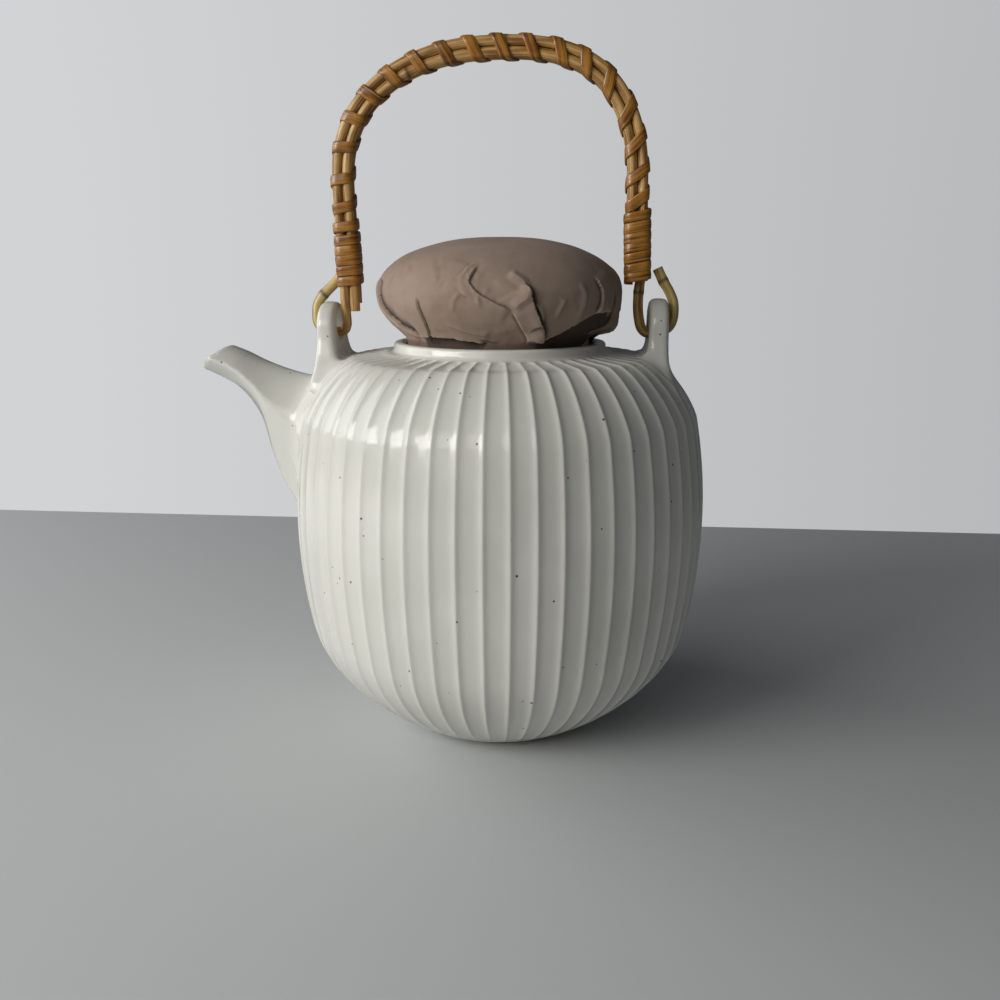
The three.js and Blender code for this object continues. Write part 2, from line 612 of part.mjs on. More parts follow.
// The long cane: a loop through the left lug, the arch, and an open hook through the right lug
function hookCane() {
  const bundle = archStations(HALF_PITCH, HALF_PITCH);
  const leftX = LUG_PAIR_X - HANDLE_HALF_SPAN - HALF_PITCH;
  const rightX = LUG_PAIR_X + HANDLE_HALF_SPAN + HALF_PITCH;
  const place = (x, y, rise) => new THREE.Vector3(x, y, AXIS_Z + rise);
  const face = LUG_THICK / 2;
  const clear = face + CANE_R + CANE_LUG_GAP;
  const leftLoop = [
    place(leftX, -HALF_PITCH, LEFT_BINDING_LOW + 2),
    place(leftX, -HALF_PITCH, LEFT_BINDING_LOW - 3),
    place(leftX, -HALF_PITCH, 10.5),
    place(leftX + 0.1, -1.2, 6),
    place(LEFT_LUG_X + clear + 0.2, -0.5, 2.4),
    place(LEFT_LUG_X + face + 1.2, -0.1, 0.3),
    place(LEFT_LUG_X + face - 1, 0, 0),
    place(LEFT_LUG_X - face + 1, 0, 0),
    place(LEFT_LUG_X - face - 1.2, 0, 0.3),
    place(LEFT_LUG_X - clear - 0.2, 0.1, 2.2),
    place(LEFT_LUG_X - clear - 0.5, 0.3, 6),
    place(LEFT_LUG_X - clear - 0.3, 0.6, 9.8),
    place(LEFT_LUG_X - face - 0.4, 0.9, 13.2),
    place(LEFT_LUG_X - 0.8, 1.3, 14.6),
    place(LEFT_LUG_X + 2.6, 1.6, 15.2),
    place(leftX - 0.7, HALF_PITCH, LEFT_BINDING_LOW - 1.5),
  ];
  const rightHook = [
    place(rightX - 0.3, HALF_PITCH, RIGHT_BINDING_LOW - 2.6),
    place(rightX - 0.9, 1.5, 13),
    place(rightX - 0.9, 1, 8.5),
    place(rightX - 0.4, 0.5, 4.6),
    place(RIGHT_LUG_X - clear + 0.1, 0.1, 1.7),
    place(RIGHT_LUG_X - face - 0.6, 0, 0.2),
    place(RIGHT_LUG_X - face + 1, 0, 0),
    place(RIGHT_LUG_X + face - 1, 0, 0),
    place(RIGHT_LUG_X + face + 1.2, 0, 0.3),
    place(RIGHT_LUG_X + clear + 0.2, 0.1, 2.2),
    place(RIGHT_LUG_X + clear + 0.4, 0.3, 6),
    place(RIGHT_LUG_X + clear + 0.3, 0.6, 10.4),
    place(RIGHT_LUG_X + face + 0.4, 1, 14.4),
    place(RIGHT_LUG_X + 1.4, 1.3, 18.2),
    place(RIGHT_LUG_X - 0.5, 1.5, 21.5),
    place(RIGHT_LUG_X - 1.1, 1.6, 24.2),
  ];
  const smooth = (points) => {
    const curve = new THREE.CatmullRomCurve3(points, false, 'centripetal');
    return curve.getSpacedPoints(HOOK_STEPS);
  };
  const start = smooth([...leftLoop, bundle[0]]).slice(0, -1);
  const end = smooth([bundle.at(-1), ...rightHook]).slice(1);
  return caneAlong([...start, ...bundle, ...end]);
}

const WINDING_POWER = 4; // a turn's outline round the canes, between a circle's 2 and a square

// A flat strip wound round the bundle from one share of the spine to another. It goes from
// the outer side over the front, and its ends lie straight along the bundle's back.
function strip(fromShare, toShare, turns) {
  const reach = HALF_PITCH + CANE_R + STRIP_GAP + STRIP_THICK / 2;
  const steps = turns * LOOP_STEPS;
  const back = (3 * Math.PI) / 2;
  const centres = [];
  const normals = [];
  for (let i = 0; i <= steps; i += 1) {
    const share = THREE.MathUtils.lerp(fromShare, toShare, i / steps);
    const angle = back + (2 * Math.PI * i) / LOOP_STEPS;
    const cosine = Math.cos(angle);
    const sine = Math.sin(angle);
    const radius = reach / (cosine ** WINDING_POWER + sine ** WINDING_POWER) ** (1 / WINDING_POWER);
    centres.push(onBundle(share, radius * cosine, -radius * sine));
    const base = onBundle(share, 0, 0);
    normals.push(onBundle(share, cosine ** 3, -(sine ** 3)).sub(base).normalize());
  }
  const straight = (end, next) => centres[end].clone().sub(centres[next]).setLength(STRIP_THICK);
  const before = centres[0].clone().add(straight(0, 1));
  const after = centres[steps].clone().add(straight(steps, steps - 1));
  const path = [before, ...centres, after];
  const faces = [normals[0], ...normals, normals[steps]];
  const rings = path.map((centre, i) => {
    const ahead = path[Math.min(i + 1, path.length - 1)];
    const behind = path[Math.max(i - 1, 0)];
    const tangent = ahead.clone().sub(behind).normalize();
    const across = new THREE.Vector3().crossVectors(tangent, faces[i]).setLength(STRIP_W / 2);
    const lift = new THREE.Vector3().crossVectors(across, tangent).setLength(STRIP_THICK / 2);
    return [[1, 1], [1, -1], [-1, -1], [-1, 1]].map(([a, b]) => (
      centre.clone().addScaledVector(across, a).addScaledVector(lift, b)
    ));
  });
  return { geometry: loft(rings), gap: leastGap(rings) };
}

const NEXT_TURN = 0.7; // share of a loop past which points count as the next turn's

// Least distance between the points of turns that lie beside each other
function leastGap(rings) {
  let least = Infinity;
  const apart = Math.floor(LOOP_STEPS * NEXT_TURN);
  for (let i = 0; i < rings.length; i += 1) {
    for (let j = i + apart; j < Math.min(rings.length, i + 2 * LOOP_STEPS); j += 1) {
      for (const a of rings[i]) {
        for (const b of rings[j]) least = Math.min(least, a.distanceTo(b));
      }
    }
  }
  return least;
}

// Shares of the spine at which the close bindings end and the open turns begin
const CLOSE_PITCH = STRIP_W + STRIP_SPACE;
const HALF_STRIP = STRIP_W / 2;
const shareAt = (length) => length / SPINE_LENGTH;
const leftStart = shareAt(HALF_STRIP);
const leftEnd = leftStart + shareAt(CLOSE_PITCH * LEFT_BINDING_TURNS);
const rightEnd = 1 - shareAt(RIGHT_BINDING_LOW - LEFT_BINDING_LOW + HALF_STRIP);
const rightStart = rightEnd - shareAt(CLOSE_PITCH * RIGHT_BINDING_TURNS);
const leftStrip = strip(leftStart, leftEnd, LEFT_BINDING_TURNS);
const rightStrip = strip(rightStart, rightEnd, RIGHT_BINDING_TURNS);
const openGap = shareAt(STRIP_W + BINDING_SPACE);
const archStrip = strip(leftEnd + openGap, rightStart - openGap, ARCH_TURNS);
console.log(`least gap of left_binding to itself: ${leftStrip.gap.toFixed(2)} mm`);
console.log(`least gap of right_binding to itself: ${rightStrip.gap.toFixed(2)} mm`);
console.log(`least gap of arch_binding to itself: ${archStrip.gap.toFixed(2)} mm`);

const group = new THREE.Group();
function piece(name, geometry, material) {
  const mesh = new THREE.Mesh(geometry, material);
  mesh.name = name;
  return mesh;
}

const pot = new THREE.Group();
pot.add(piece('pot_body', potBody(), glaze));
const lid = new THREE.Group();
lid.add(piece('lid', lidBody(), glaze));
lid.add(piece('paper_wrap', paperWrap(), paperBrown));
const handle = new THREE.Group();
handle.add(piece('hook_cane', hookCane(), rattan));
handle.add(piece('inner_front_cane', fillerCane(-HALF_PITCH, -HALF_PITCH, INNER_FRONT_PAST), rattan));
handle.add(piece('inner_back_cane', fillerCane(-HALF_PITCH, HALF_PITCH, INNER_BACK_PAST), rattan));
handle.add(piece('outer_front_cane', fillerCane(HALF_PITCH, -HALF_PITCH, OUTER_FRONT_PAST), rattan));
handle.add(piece('left_binding', leftStrip.geometry, peel));
handle.add(piece('arch_binding', archStrip.geometry, peel));
handle.add(piece('right_binding', rightStrip.geometry, peel));
group.add(pot, lid, handle);

export default group;
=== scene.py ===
"""Looks of a fluted stoneware teapot with a paper-wrapped lid and a rattan bail handle.

Blender 4.5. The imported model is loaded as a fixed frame, and each of its parts gets a finer piece
in the same place. Sizes are in millimetres until a mesh is made, +Z is up and the spout is at -X.
"""
import math

import bmesh
import bpy
import numpy as np
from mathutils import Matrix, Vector


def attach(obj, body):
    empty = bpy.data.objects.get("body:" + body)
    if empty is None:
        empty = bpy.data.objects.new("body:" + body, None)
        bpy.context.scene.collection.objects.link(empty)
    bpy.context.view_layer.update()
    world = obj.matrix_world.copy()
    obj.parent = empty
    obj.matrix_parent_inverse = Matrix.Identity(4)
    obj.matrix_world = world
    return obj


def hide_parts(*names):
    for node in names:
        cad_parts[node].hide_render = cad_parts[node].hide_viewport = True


MM = 0.001
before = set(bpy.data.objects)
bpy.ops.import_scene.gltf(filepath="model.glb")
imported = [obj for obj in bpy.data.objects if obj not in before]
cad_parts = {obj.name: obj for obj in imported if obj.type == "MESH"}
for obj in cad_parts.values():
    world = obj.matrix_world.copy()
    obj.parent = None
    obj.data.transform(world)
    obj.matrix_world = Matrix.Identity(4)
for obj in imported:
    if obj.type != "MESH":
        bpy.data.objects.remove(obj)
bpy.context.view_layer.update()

# Body of the pot
BELLY_R = 75.0
BASE_CUT = 5.3
LOW_CURVE_R = 15.0
LOW_CURVE_H = 45.4
LOW_CURVE_POWER = 1.941
SIDE_H = 76.2
SHOULDER_R = 59.8
SHOULDER_H = 21.05
SHOULDER_POWER = 1.535
BARREL = 0.181
WALL = 5.2
FLOOR = 6.0
BASE_EDGE = 1.6  # rounding of the base's edge
BASE_EDGE_POINTS = 6  # points of the wall that the rounding takes up
FOOT_RING_W = 6.0
FOOT_RECESS = 1.2  # depth of the turned recess inside the foot ring
GLAZE_LINE = 1.4  # height at which the glaze ends above the base

# Flutes round the body
FLUTES = 56
FLUTE_DEPTH = 0.78
FLUTE_INNER = 0.3  # share of its depth that a flute would have left at the pot's axis
FLUTE_POWER = 3.2  # above 2 a flute is flatter in the middle and steeper at its edges
FLUTE_TURN = 0.15  # share of a flute by which the whole pattern is turned
FLUTE_FADE_LOW = 12.0
FLUTE_END_GAP = 1.5  # from the collar to the upper end of a flute
FLUTE_END_ROUND = 2.2  # how much further out a flute ends at its edges
FLUTE_FADE_TOP = 2.4
ARRIS_ROUNDING = 0.1  # share of a flute's half width that its rounded edge takes
ARRIS_CROWDING = 0.62  # how much closer together the mesh's columns are at an edge

# Collar, mouth and ledge
COLLAR_R = 37.9
COLLAR_WALL = 3.5
COLLAR_FOOT_RISE = 1.85
COLLAR_H = 2.9
LEDGE_DEPTH = 4.2
MOUTH_R = 29.5
SIDE_LOW_Z = LOW_CURVE_H - BASE_CUT
SIDE_TOP_Z = SIDE_LOW_Z + SIDE_H
CROWN_Z = SIDE_TOP_Z + SHOULDER_H
COLLAR_FOOT_Z = CROWN_Z + COLLAR_FOOT_RISE
COLLAR_TOP_Z = COLLAR_FOOT_Z + COLLAR_H
LEDGE_Z = COLLAR_TOP_Z - LEDGE_DEPTH
BELLY_Z = (SIDE_LOW_Z + SIDE_TOP_Z) / 2
HALF_H = (CROWN_Z + BASE_CUT) / 2

# Lugs
LUG_PAIR_X = -2.8
LUG_REACH = 58.8
LUG_THICK = 6.8
LUG_TOP_R = 9.0
LUG_HALF_W = 10.6
LUG_FOOT_FLARE = 5.5
LUG_INNER_FLARE = 3.4
LUG_OUTER_FLARE = 0.6
LUG_FLARE_H = 14.0
LUG_FLARE_TOP = LUG_FLARE_H - 6  # where the flare starts, above the shoulder's crown
LUG_HOLE_R = 5.0
LUG_HOLE_Z = CROWN_Z + 10.65
LUG_TOP_Z = (LUG_HOLE_Z - 1.3, LUG_HOLE_Z + 0.2)  # middle of the round top, left and right

# Spout
SPOUT_CROWN = [[-12, -9.4], [-3, -8], [5, -5.8], [13, -2.8], [20, 0.5], [25.5, 2.6]]
SPOUT_KEEL = [[-10, -8], [4.5, 4], [11, 19], [15.5, 36], [23, 46], [37, 53.3]]
SPOUT_HALF_W = 15.5
SPOUT_LIP_HALF_W = 10.5
SPOUT_WALL = 3.2
SPOUT_LIP_WALL = 2.2
SPOUT_RIDGE = (0.45, 0.12)  # height of the section's widest place, at the root and at the lip
SPOUT_TOP_POWER = 2.2
SPOUT_SIDE_POWER = 1.25
SPOUT_RIDGE_ROUND = 0.07
STRAINER_HOLE_R = 2.4
STRAINER_PITCH = 7.6
STRAINER_Z = 112.0

# Handle, on the middle line of its bundle of four canes
AXIS_Z = LUG_HOLE_Z - 2.85
CANE_R = 1.73
HALF_PITCH = 1.8  # of a cane's middle from the bundle's
HALF_SPAN = 51.2
CREST_RISE = 94.0
LEG_RISE = 49.7
ARCH_POWER = 2.4
CREST_LEAN = 4.0
LEG_LEAN = -1.2
LEG_FOOT_RISE = 17.9  # start of the middle line above the hinge
CANE_STEP = 0.55
CANE_SIDES = 14
CANE_JOINT_SWELL = 0.16
JOINT_WIDTH = 1.1
JOINT_MARK_WIDTH = 0.6  # of the dark ring beside the swelling
JOINT_MARK_OFF = 0.3
CANE_WAVES = (19.0, 47.0)  # lengths over which a cane's thickness changes
CANE_UNEVEN = 0.02
CUT_BEVEL = 0.22  # how much thinner a cane is at its very ends
UV_UNIT = 10.0  # millimetres to one unit of the UV maps of canes and strips

# The shorter canes, with the side of the bundle (outwards, backwards), the length past the left
# leg's foot and the places near which a cane has a joint
SHORT_CANES = [
    ("inner_front_rattan", "inner_front_cane", -1, -1, 10.7, [(-30.0, -1.8, 229.0)]),
    ("inner_back_rattan", "inner_back_cane", -1, 1, 8.0, [(20.0, 1.8, 234.0)]),
    ("outer_front_rattan", "outer_front_cane", 1, -1, -3.2, [(2.0, -1.8, 241.0), (48.6, -1.8, 192.0)]),
]
HOOK_JOINTS = [(49.3, 1.2, AXIS_Z + 14.4), (57.6, 1.3, AXIS_Z + 18.0), (-64.2, 0.9, AXIS_Z + 13.1)]

# The long cane as (x, y, height above the hinge), through the left lug and then the right one
LEFT_LOOP = [
    (-55.8, -1.8, 19.9), (-55.8, -1.8, 14.9), (-55.8, -1.8, 10.5), (-55.7, -1.2, 6.0),
    (-55.85, -0.5, 2.4), (-57.0, -0.1, 0.3), (-59.2, 0.0, 0.0), (-63.2, 0.0, 0.4),
    (-65.4, 0.0, 1.2), (-66.8, 0.1, 3.2), (-67.05, 0.3, 6.4), (-66.6, 0.6, 9.6),
    (-64.7, 0.9, 12.6), (-62.0, 1.2, 15.3), (-59.4, 1.5, 17.8), (-57.4, 1.7, 20.6),
]
RIGHT_HOOK = [
    (49.75, 1.8, 20.4), (49.3, 1.7, 16.6), (49.0, 1.4, 13.0), (49.0, 1.0, 8.5),
    (49.5, 0.5, 4.6), (50.4, 0.1, 1.7), (52.0, 0.0, 0.2), (53.6, 0.0, 0.0),
    (57.8, 0.0, 0.8), (59.9, 0.0, 2.0), (61.1, 0.1, 4.2), (61.5, 0.3, 7.0),
    (61.2, 0.6, 10.8), (59.7, 1.0, 14.4), (57.6, 1.3, 17.8), (56.0, 1.5, 20.9),
    (55.3, 1.6, 22.3),
]

# Peel strips, with the places along the middle line where each turn crosses the front
STRIP_THICK = 0.5
ARCH_STRIP_W = 3.7
CLOSE_STRIP_W = 3.5
ARCH_TURNS = [25, 34.5, 45, 55, 64.5, 74, 84, 94, 103.5, 113, 123, 133, 142, 152, 164, 174, 184, 192.5]
LEFT_TURNS = [0, 3.5, 7, 10.5, 14, 18.5]
RIGHT_TURNS = [197.5, 201, 204.5, 207.5, 211, 214.5, 217.5]
TURN_POWER = 4  # outline of a turn, between a circle's 2 and a square
TURN_STEPS = 40
LEFT_LEG_SLANT = 0.6  # how flat a turn crosses the front on the left leg
RIGHT_LEG_SLANT = -0.85
STRIP_GAP = 0.08  # between the canes and the strip round them
STRIP_TUCK = 0.35  # how far the ends of a strip lie under its neighbours
STRIP_TUCK_TURNS = (0.2, 0.45)  # share of a turn past the last crossing, where the tuck begins and ends
STRIP_FACING = 0.15  # how much a strip faces straight out from the bundle, not square to its outline
# Section of a strip, as shares of its half width and its thickness, domed outside and flat inside
STRIP_SECTION = np.array([
    (-1.0, 0.0), (-0.93, 0.32), (-0.7, 0.5), (-0.35, 0.6), (0.0, 0.63), (0.35, 0.6), (0.7, 0.5),
    (0.93, 0.32), (1.0, 0.0), (0.85, -0.4), (0.4, -0.5), (-0.4, -0.5), (-0.85, -0.4),
])

# Lid and the paper round it
LID_R = 42.0
LID_RIM_Z = COLLAR_TOP_Z + 17.7
LID_DOME_H = 17.0
LID_DOME_POWER = 0.9
LID_SIDES = 144
LID_FLARE = [
    (33.0, 138.2), (33.0, 139.6), (32.0, 140.4), (32.0, 143.3), (33.0, 145.8), (36.4, 149.6),
    (40.3, 154.2),
]
LID_HOLLOW = [
    (0.0, 172.0), (14.0, 171.6), (21.0, 170.0), (30.0, 166.4), (35.2, 160.8), (35.2, 157.8), (26.2, 145.1),
    (26.2, 131.2), (29.0, 131.2), (29.0, 138.2),
]
PAPER_R = 43.2
PAPER_DOME_H = 18.3
PAPER_DOME_STEPS = np.radians([90, 81, 71, 53, 36, 18])
PAPER_NECK = [
    (43.2, 160.6), (43.1, 158.0), (42.5, 155.2), (40.9, 152.2), (38.7, 149.5), (36.2, 147.2), (34.4, 145.3),
    (33.5, 143.6), (33.2, 142.0), (33.1, 140.4),
]
PAPER_DOME_R = PAPER_R * np.abs(np.cos(PAPER_DOME_STEPS)) ** LID_DOME_POWER
PAPER_DOME_Z = LID_RIM_Z + PAPER_DOME_H * np.sin(PAPER_DOME_STEPS)
PAPER_LINE = [(0.0, LID_RIM_Z + PAPER_DOME_H), *zip(PAPER_DOME_R[1:], PAPER_DOME_Z[1:]), *PAPER_NECK]
PAPER_THICK = 0.26
PAPER_SINK_LOW = 0.8  # how far a fold may sink towards the lid, near the collar and above it
PAPER_SINK_HIGH = 1.4
FOLD_OVERHANG = 0.6  # share of its lift by which a fold hangs over
PAPER_COLUMNS = 640
PAPER_ROWS = 196
PAPER_CLEAR_X = 43.0  # the wrapped lid has to pass the handle's right leg
LEG_CLEAR_Y = 5.5
PAPER_END = 0.992  # share of the paper's line at which the sheet ends in the neck
PAPER_END_UNEVEN = (0.005, 0.003)  # broad and fine changes of that share
PAPER_SLIT = (-14, 9, 0.085)  # azimuth and reach in degrees of the place where the edge rises by a share
WAVE_H, WAVE_CELL = 0.28, 17.0  # height and size of the sheet's broad waves
RIPPLE_H, RIPPLE_CELL = 0.12, 7.5
CRUMPLE_H, CRUMPLE_CELL = 0.08, 5.2

# Rounding where the clay's shapes meet, and the room in which each of them is looked for
SPOUT_BLEND = 7.0
LIP_EDGE = 1.2
BORE_EDGE = 1.4
LUG_BLEND = 4.5
LUG_EDGE = 2.6
LUG_HOLE_EDGE = 1.8
CLAY_EDGE = 0.5
SPOUT_ROOM = (-48, 34, 62)  # largest x, largest distance to each side and lowest height
BORE_ROOM = (-60, 20, 80)
LUG_ROOM = (16, 22, CROWN_Z - 12)  # distance along X, to each side, and lowest height

# Grid that the pot's surface is found on
COLUMNS_PER_FLUTE = 10
GRID_PITCH = 0.85
GRID_R = (14.0, 114.5)
GRID_Z = (-2.0, 158.5)
GRID_CHUNK = 28  # columns that are worked out at a time
SETTLE_ROUNDS = 3  # in which the grid's corners move to the true surface
SETTLE_SPAN = 0.1
SETTLE_REACH = 0.5

# Colours, the first of a pair for the low end of its noise and the second for the high end
GLAZE_COLOURS = (0.665, 0.66, 0.6, 1), (0.725, 0.715, 0.655, 1)
SPECK_COLOUR = (0.06, 0.04, 0.028, 1)
SPECKS = [(150, 0.085, 0.45), (110, 0.06, 0.5), (300, 0.15, 0.78)]  # cells to a metre, size, bare share
CLAY_COLOURS = (0.36, 0.31, 0.25, 1), (0.5, 0.44, 0.36, 1)
CANE_COLOURS = (0.22, 0.085, 0.014, 1), (0.62, 0.38, 0.13, 1)
GREEN_CANE_COLOURS = (0.3, 0.2, 0.05, 1), (0.64, 0.52, 0.2, 1)
GREEN_SPAN = (0.0545, 0.061)  # metres from the middle of the lug pair, where the cane turns green
TONE_SPAN = (0.72, 1.08)
PEEL_COLOURS = (0.13, 0.043, 0.004, 1), (0.42, 0.18, 0.019, 1)
JOINT_COLOUR = (0.05, 0.025, 0.008, 1)
CUT_COLOURS = (0.1, 0.06, 0.03, 1), (0.42, 0.3, 0.17, 1)
PAPER_COLOURS = (0.272, 0.194, 0.15, 1), (0.338, 0.25, 0.196, 1)
FLECK_COLOUR = (0.36, 0.29, 0.24, 1)
WORN_COLOUR = (0.43, 0.34, 0.265, 1)
# colour of the painted shade on the paper
SHADED_COLOUR = (0.035, 0.022, 0.015, 1)


def smooth_step(value, low, high):
    share = np.clip((value - low) / (high - low), 0, 1)
    return share * share * (3 - 2 * share)


def smooth_min(a, b, width):
    share = np.clip(width - np.abs(a - b), 0, None) / width
    return np.minimum(a, b) - share * share * width / 4


def smooth_max(a, b, width):
    return -smooth_min(-a, -b, width)


def unit(vectors):
    return vectors / np.linalg.norm(vectors, axis=-1, keepdims=True)


def length_to(line):
    """Length along a line up to each of its points."""
    return np.concatenate([[0], np.cumsum(np.linalg.norm(np.diff(line, axis=0), axis=1))])


def around_axis(radius, angle, height):
    """Points at a distance and an angle about the pot's axis."""
    places = np.broadcast_arrays(radius * np.cos(angle), radius * np.sin(angle), height)
    return np.stack(places, axis=-1)


def look_up(table, low, pitch, first, second):
    """Values of a table between the points of its even grid."""
    u = np.clip((first - low[0]) / pitch, 0, table.shape[0] - 1.001)
    v = np.clip((second - low[1]) / pitch, 0, table.shape[1] - 1.001)
    i, j = u.astype(int), v.astype(int)
    u, v = u - i, v - j
    near = table[i, j] * (1 - v) + table[i, j + 1] * v
    far = table[i + 1, j] * (1 - v) + table[i + 1, j + 1] * v
    return near * (1 - u) + far * u


def spline(points, spacing):
    """Points at even steps along a smooth curve through the given ones."""
    points = np.asarray(points, float)
    ends = [2 * points[0] - points[1]], [2 * points[-1] - points[-2]]
    padded = np.concatenate([ends[0], points, ends[1]])
    dense = []
    for p0, p1, p2, p3 in zip(padded, padded[1:], padded[2:], padded[3:]):
        d0, d1, d2 = (max(np.linalg.norm(b - a), 1e-9) ** 0.5 for a, b in ((p0, p1), (p1, p2), (p2, p3)))
        m1 = ((p1 - p0) / d0 - (p2 - p0) / (d0 + d1) + (p2 - p1) / d1) * d1
        m2 = ((p2 - p1) / d1 - (p3 - p1) / (d1 + d2) + (p3 - p2) / d2) * d1
        t = np.linspace(0, 1, 40, endpoint=False)[:, None]
        start = (2 * t**3 - 3 * t**2 + 1) * p1 + (t**3 - 2 * t**2 + t) * m1
        dense.append(start + (3 * t**2 - 2 * t**3) * p2 + (t**3 - t**2) * m2)
    dense = np.concatenate([*dense, points[-1:]])
    length = length_to(dense)
    even = np.linspace(0, length[-1], max(2, round(length[-1] / spacing) + 1))
    return np.stack([np.interp(even, length, dense[:, k]) for k in range(points.shape[1])], axis=1)


def barrel(z):
    return 1 - BARREL * ((z - BELLY_Z) / HALF_H) ** 2


def wall_outline():
    """Outline of the wall from the base to the collar's foot, as (radius, height)."""
    base_angle = math.acos((1 - BASE_CUT / LOW_CURVE_H) ** (LOW_CURVE_POWER / 2))
    angle = np.linspace(base_angle, math.pi / 2, 60)
    r = LOW_CURVE_R + (BELLY_R - LOW_CURVE_R) * np.sin(angle) ** (2 / LOW_CURVE_POWER)
    z = LOW_CURVE_H * (1 - np.clip(np.cos(angle), 0, 1) ** (2 / LOW_CURVE_POWER)) - BASE_CUT
    low = np.stack([r * barrel(z), np.maximum(z, 0)], axis=1)
    z = np.linspace(SIDE_LOW_Z, SIDE_TOP_Z, 40)[1:]
    side = np.stack([BELLY_R * barrel(z), z], axis=1)
    angle = np.linspace(0, math.pi / 2, 60)[1:]
    r = SHOULDER_R + (BELLY_R - SHOULDER_R) * np.clip(np.cos(angle), 0, 1) ** (2 / SHOULDER_POWER)
    z = SIDE_TOP_Z + SHOULDER_H * np.sin(angle) ** (2 / SHOULDER_POWER)
    top = np.stack([r * barrel(z), z], axis=1)
    return np.concatenate([low, side, top])


def rounded(corners, radius, steps=5):
    """A polyline with its inner corners rounded off."""
    corners = np.asarray(corners, float)
    out = [corners[0]]
    for before, corner, after in zip(corners, corners[1:], corners[2:]):
        reach = [min(radius, np.linalg.norm(end - corner) / 2) for end in (before, after)]
        start = corner + (before - corner) * reach[0] / np.linalg.norm(before - corner)
        stop = corner + (after - corner) * reach[1] / np.linalg.norm(after - corner)
        for t in np.linspace(0, 1, steps + 1):
            out.append((1 - t) ** 2 * start + 2 * t * (1 - t) * corner + t * t * stop)
    return np.array([*out, corners[-1]])


class Outline:
    """Signed distance to a turned body, negative inside, kept on a fine grid of radius and height."""

    PITCH = 0.4
    LOW = (0.0, -6.0)
    HIGH = (120.0, 164.0)

    def __init__(self, outline):
        outline = np.asarray(outline, float)
        ring = np.concatenate([outline, outline[::-1] * (-1, 1)])
        axes = [np.arange(low, high, self.PITCH) for low, high in zip(self.LOW, self.HIGH)]
        r, z = np.meshgrid(*axes, indexing="ij")
        nearest = np.full(r.shape, 1e9)
        inside = np.zeros(r.shape, bool)
        for (r0, z0), (r1, z1) in zip(ring, np.roll(ring, -1, axis=0)):
            span = (r1 - r0) ** 2 + (z1 - z0) ** 2
            if span < 1e-12:
                continue
            t = np.clip(((r - r0) * (r1 - r0) + (z - z0) * (z1 - z0)) / span, 0, 1)
            apart = (r - r0 - t * (r1 - r0)) ** 2 + (z - z0 - t * (z1 - z0)) ** 2
            nearest = np.minimum(nearest, apart)
            if z0 != z1:
                crosses = (z0 > z) != (z1 > z)
                inside ^= crosses & (r < r0 + (z - z0) * (r1 - r0) / (z1 - z0))
        self.table = np.where(inside, -1, 1) * np.sqrt(nearest)

    def __call__(self, r, z):
        return look_up(self.table, self.LOW, self.PITCH, r, z)


def outer_outline():
    wall = wall_outline()
    base_r = wall[0][0]
    ring_in = base_r - FOOT_RING_W
    recess = [[0, FOOT_RECESS], [ring_in - 3, FOOT_RECESS]]
    base = [*recess, [ring_in, 0], [base_r - 0.5, 0], wall[BASE_EDGE_POINTS]]
    collar = [
        wall[-1],
        [COLLAR_R + 0.6, COLLAR_FOOT_Z - 0.3],
        [COLLAR_R + 0.1, COLLAR_FOOT_Z + 0.8],
        [COLLAR_R, COLLAR_TOP_Z],
        [COLLAR_R - COLLAR_WALL * 0.6, COLLAR_TOP_Z + 0.05],
        [0, COLLAR_TOP_Z],
    ]
    side = wall[BASE_EDGE_POINTS + 1 : -1]
    return np.concatenate([rounded(base, BASE_EDGE), side, rounded(collar, 1.3)])


def cavity_outline():
    wall = wall_outline()
    along = unit(np.gradient(wall, axis=0))
    inner = wall + WALL * np.stack([-along[:, 1], along[:, 0]], axis=1)
    inner = inner[(inner[:, 1] > FLOOR + 1) & (inner[:, 1] < CROWN_Z - WALL)]
    floor = [[0, FLOOR], [inner[0][0] - WALL * 1.5, FLOOR], inner[0]]
    throat = [
        inner[-1],
        [MOUTH_R, COLLAR_FOOT_Z - WALL],
        [MOUTH_R, LEDGE_Z],
        [COLLAR_R - COLLAR_WALL, LEDGE_Z],
        [COLLAR_R - COLLAR_WALL, COLLAR_TOP_Z - 0.8],
        [COLLAR_R - COLLAR_WALL + 1.2, COLLAR_TOP_Z + 2],
        [0, COLLAR_TOP_Z + 2],
    ]
    return np.concatenate([rounded(floor, 4), inner[1:-1], rounded(throat, 0.9)])


FLUTE_VARIATION = np.random.default_rng(7).uniform(0.88, 1.1, FLUTES)


def flute_depth(angle, r, z):
    """How far the flutes lie under the turned wall, by hand and so never quite the same."""
    turn = np.mod(angle / (2 * math.pi) * FLUTES - FLUTE_TURN, FLUTES)
    which = np.floor(turn).astype(int) % FLUTES
    across = np.abs(2 * (turn - np.floor(turn)) - 1)
    limit = 1 - ARRIS_ROUNDING
    over = np.clip(across - limit, 0, None)
    slope = FLUTE_POWER * limit ** (FLUTE_POWER - 1)
    depth = 1 - np.minimum(across, limit) ** FLUTE_POWER - slope * (over - over**2 / (2 * ARRIS_ROUNDING))
    low = smooth_step(z, 1, FLUTE_FADE_LOW)
    # the upper end of a flute is round, as a gouge leaves it
    top_end = COLLAR_R + FLUTE_END_GAP + FLUTE_END_ROUND * across**2
    top = smooth_step(r, top_end, top_end + FLUTE_FADE_TOP)
    outwards = FLUTE_INNER + (1 - FLUTE_INNER) * r / BELLY_R
    return FLUTE_DEPTH * FLUTE_VARIATION[which] * depth * outwards * low * top


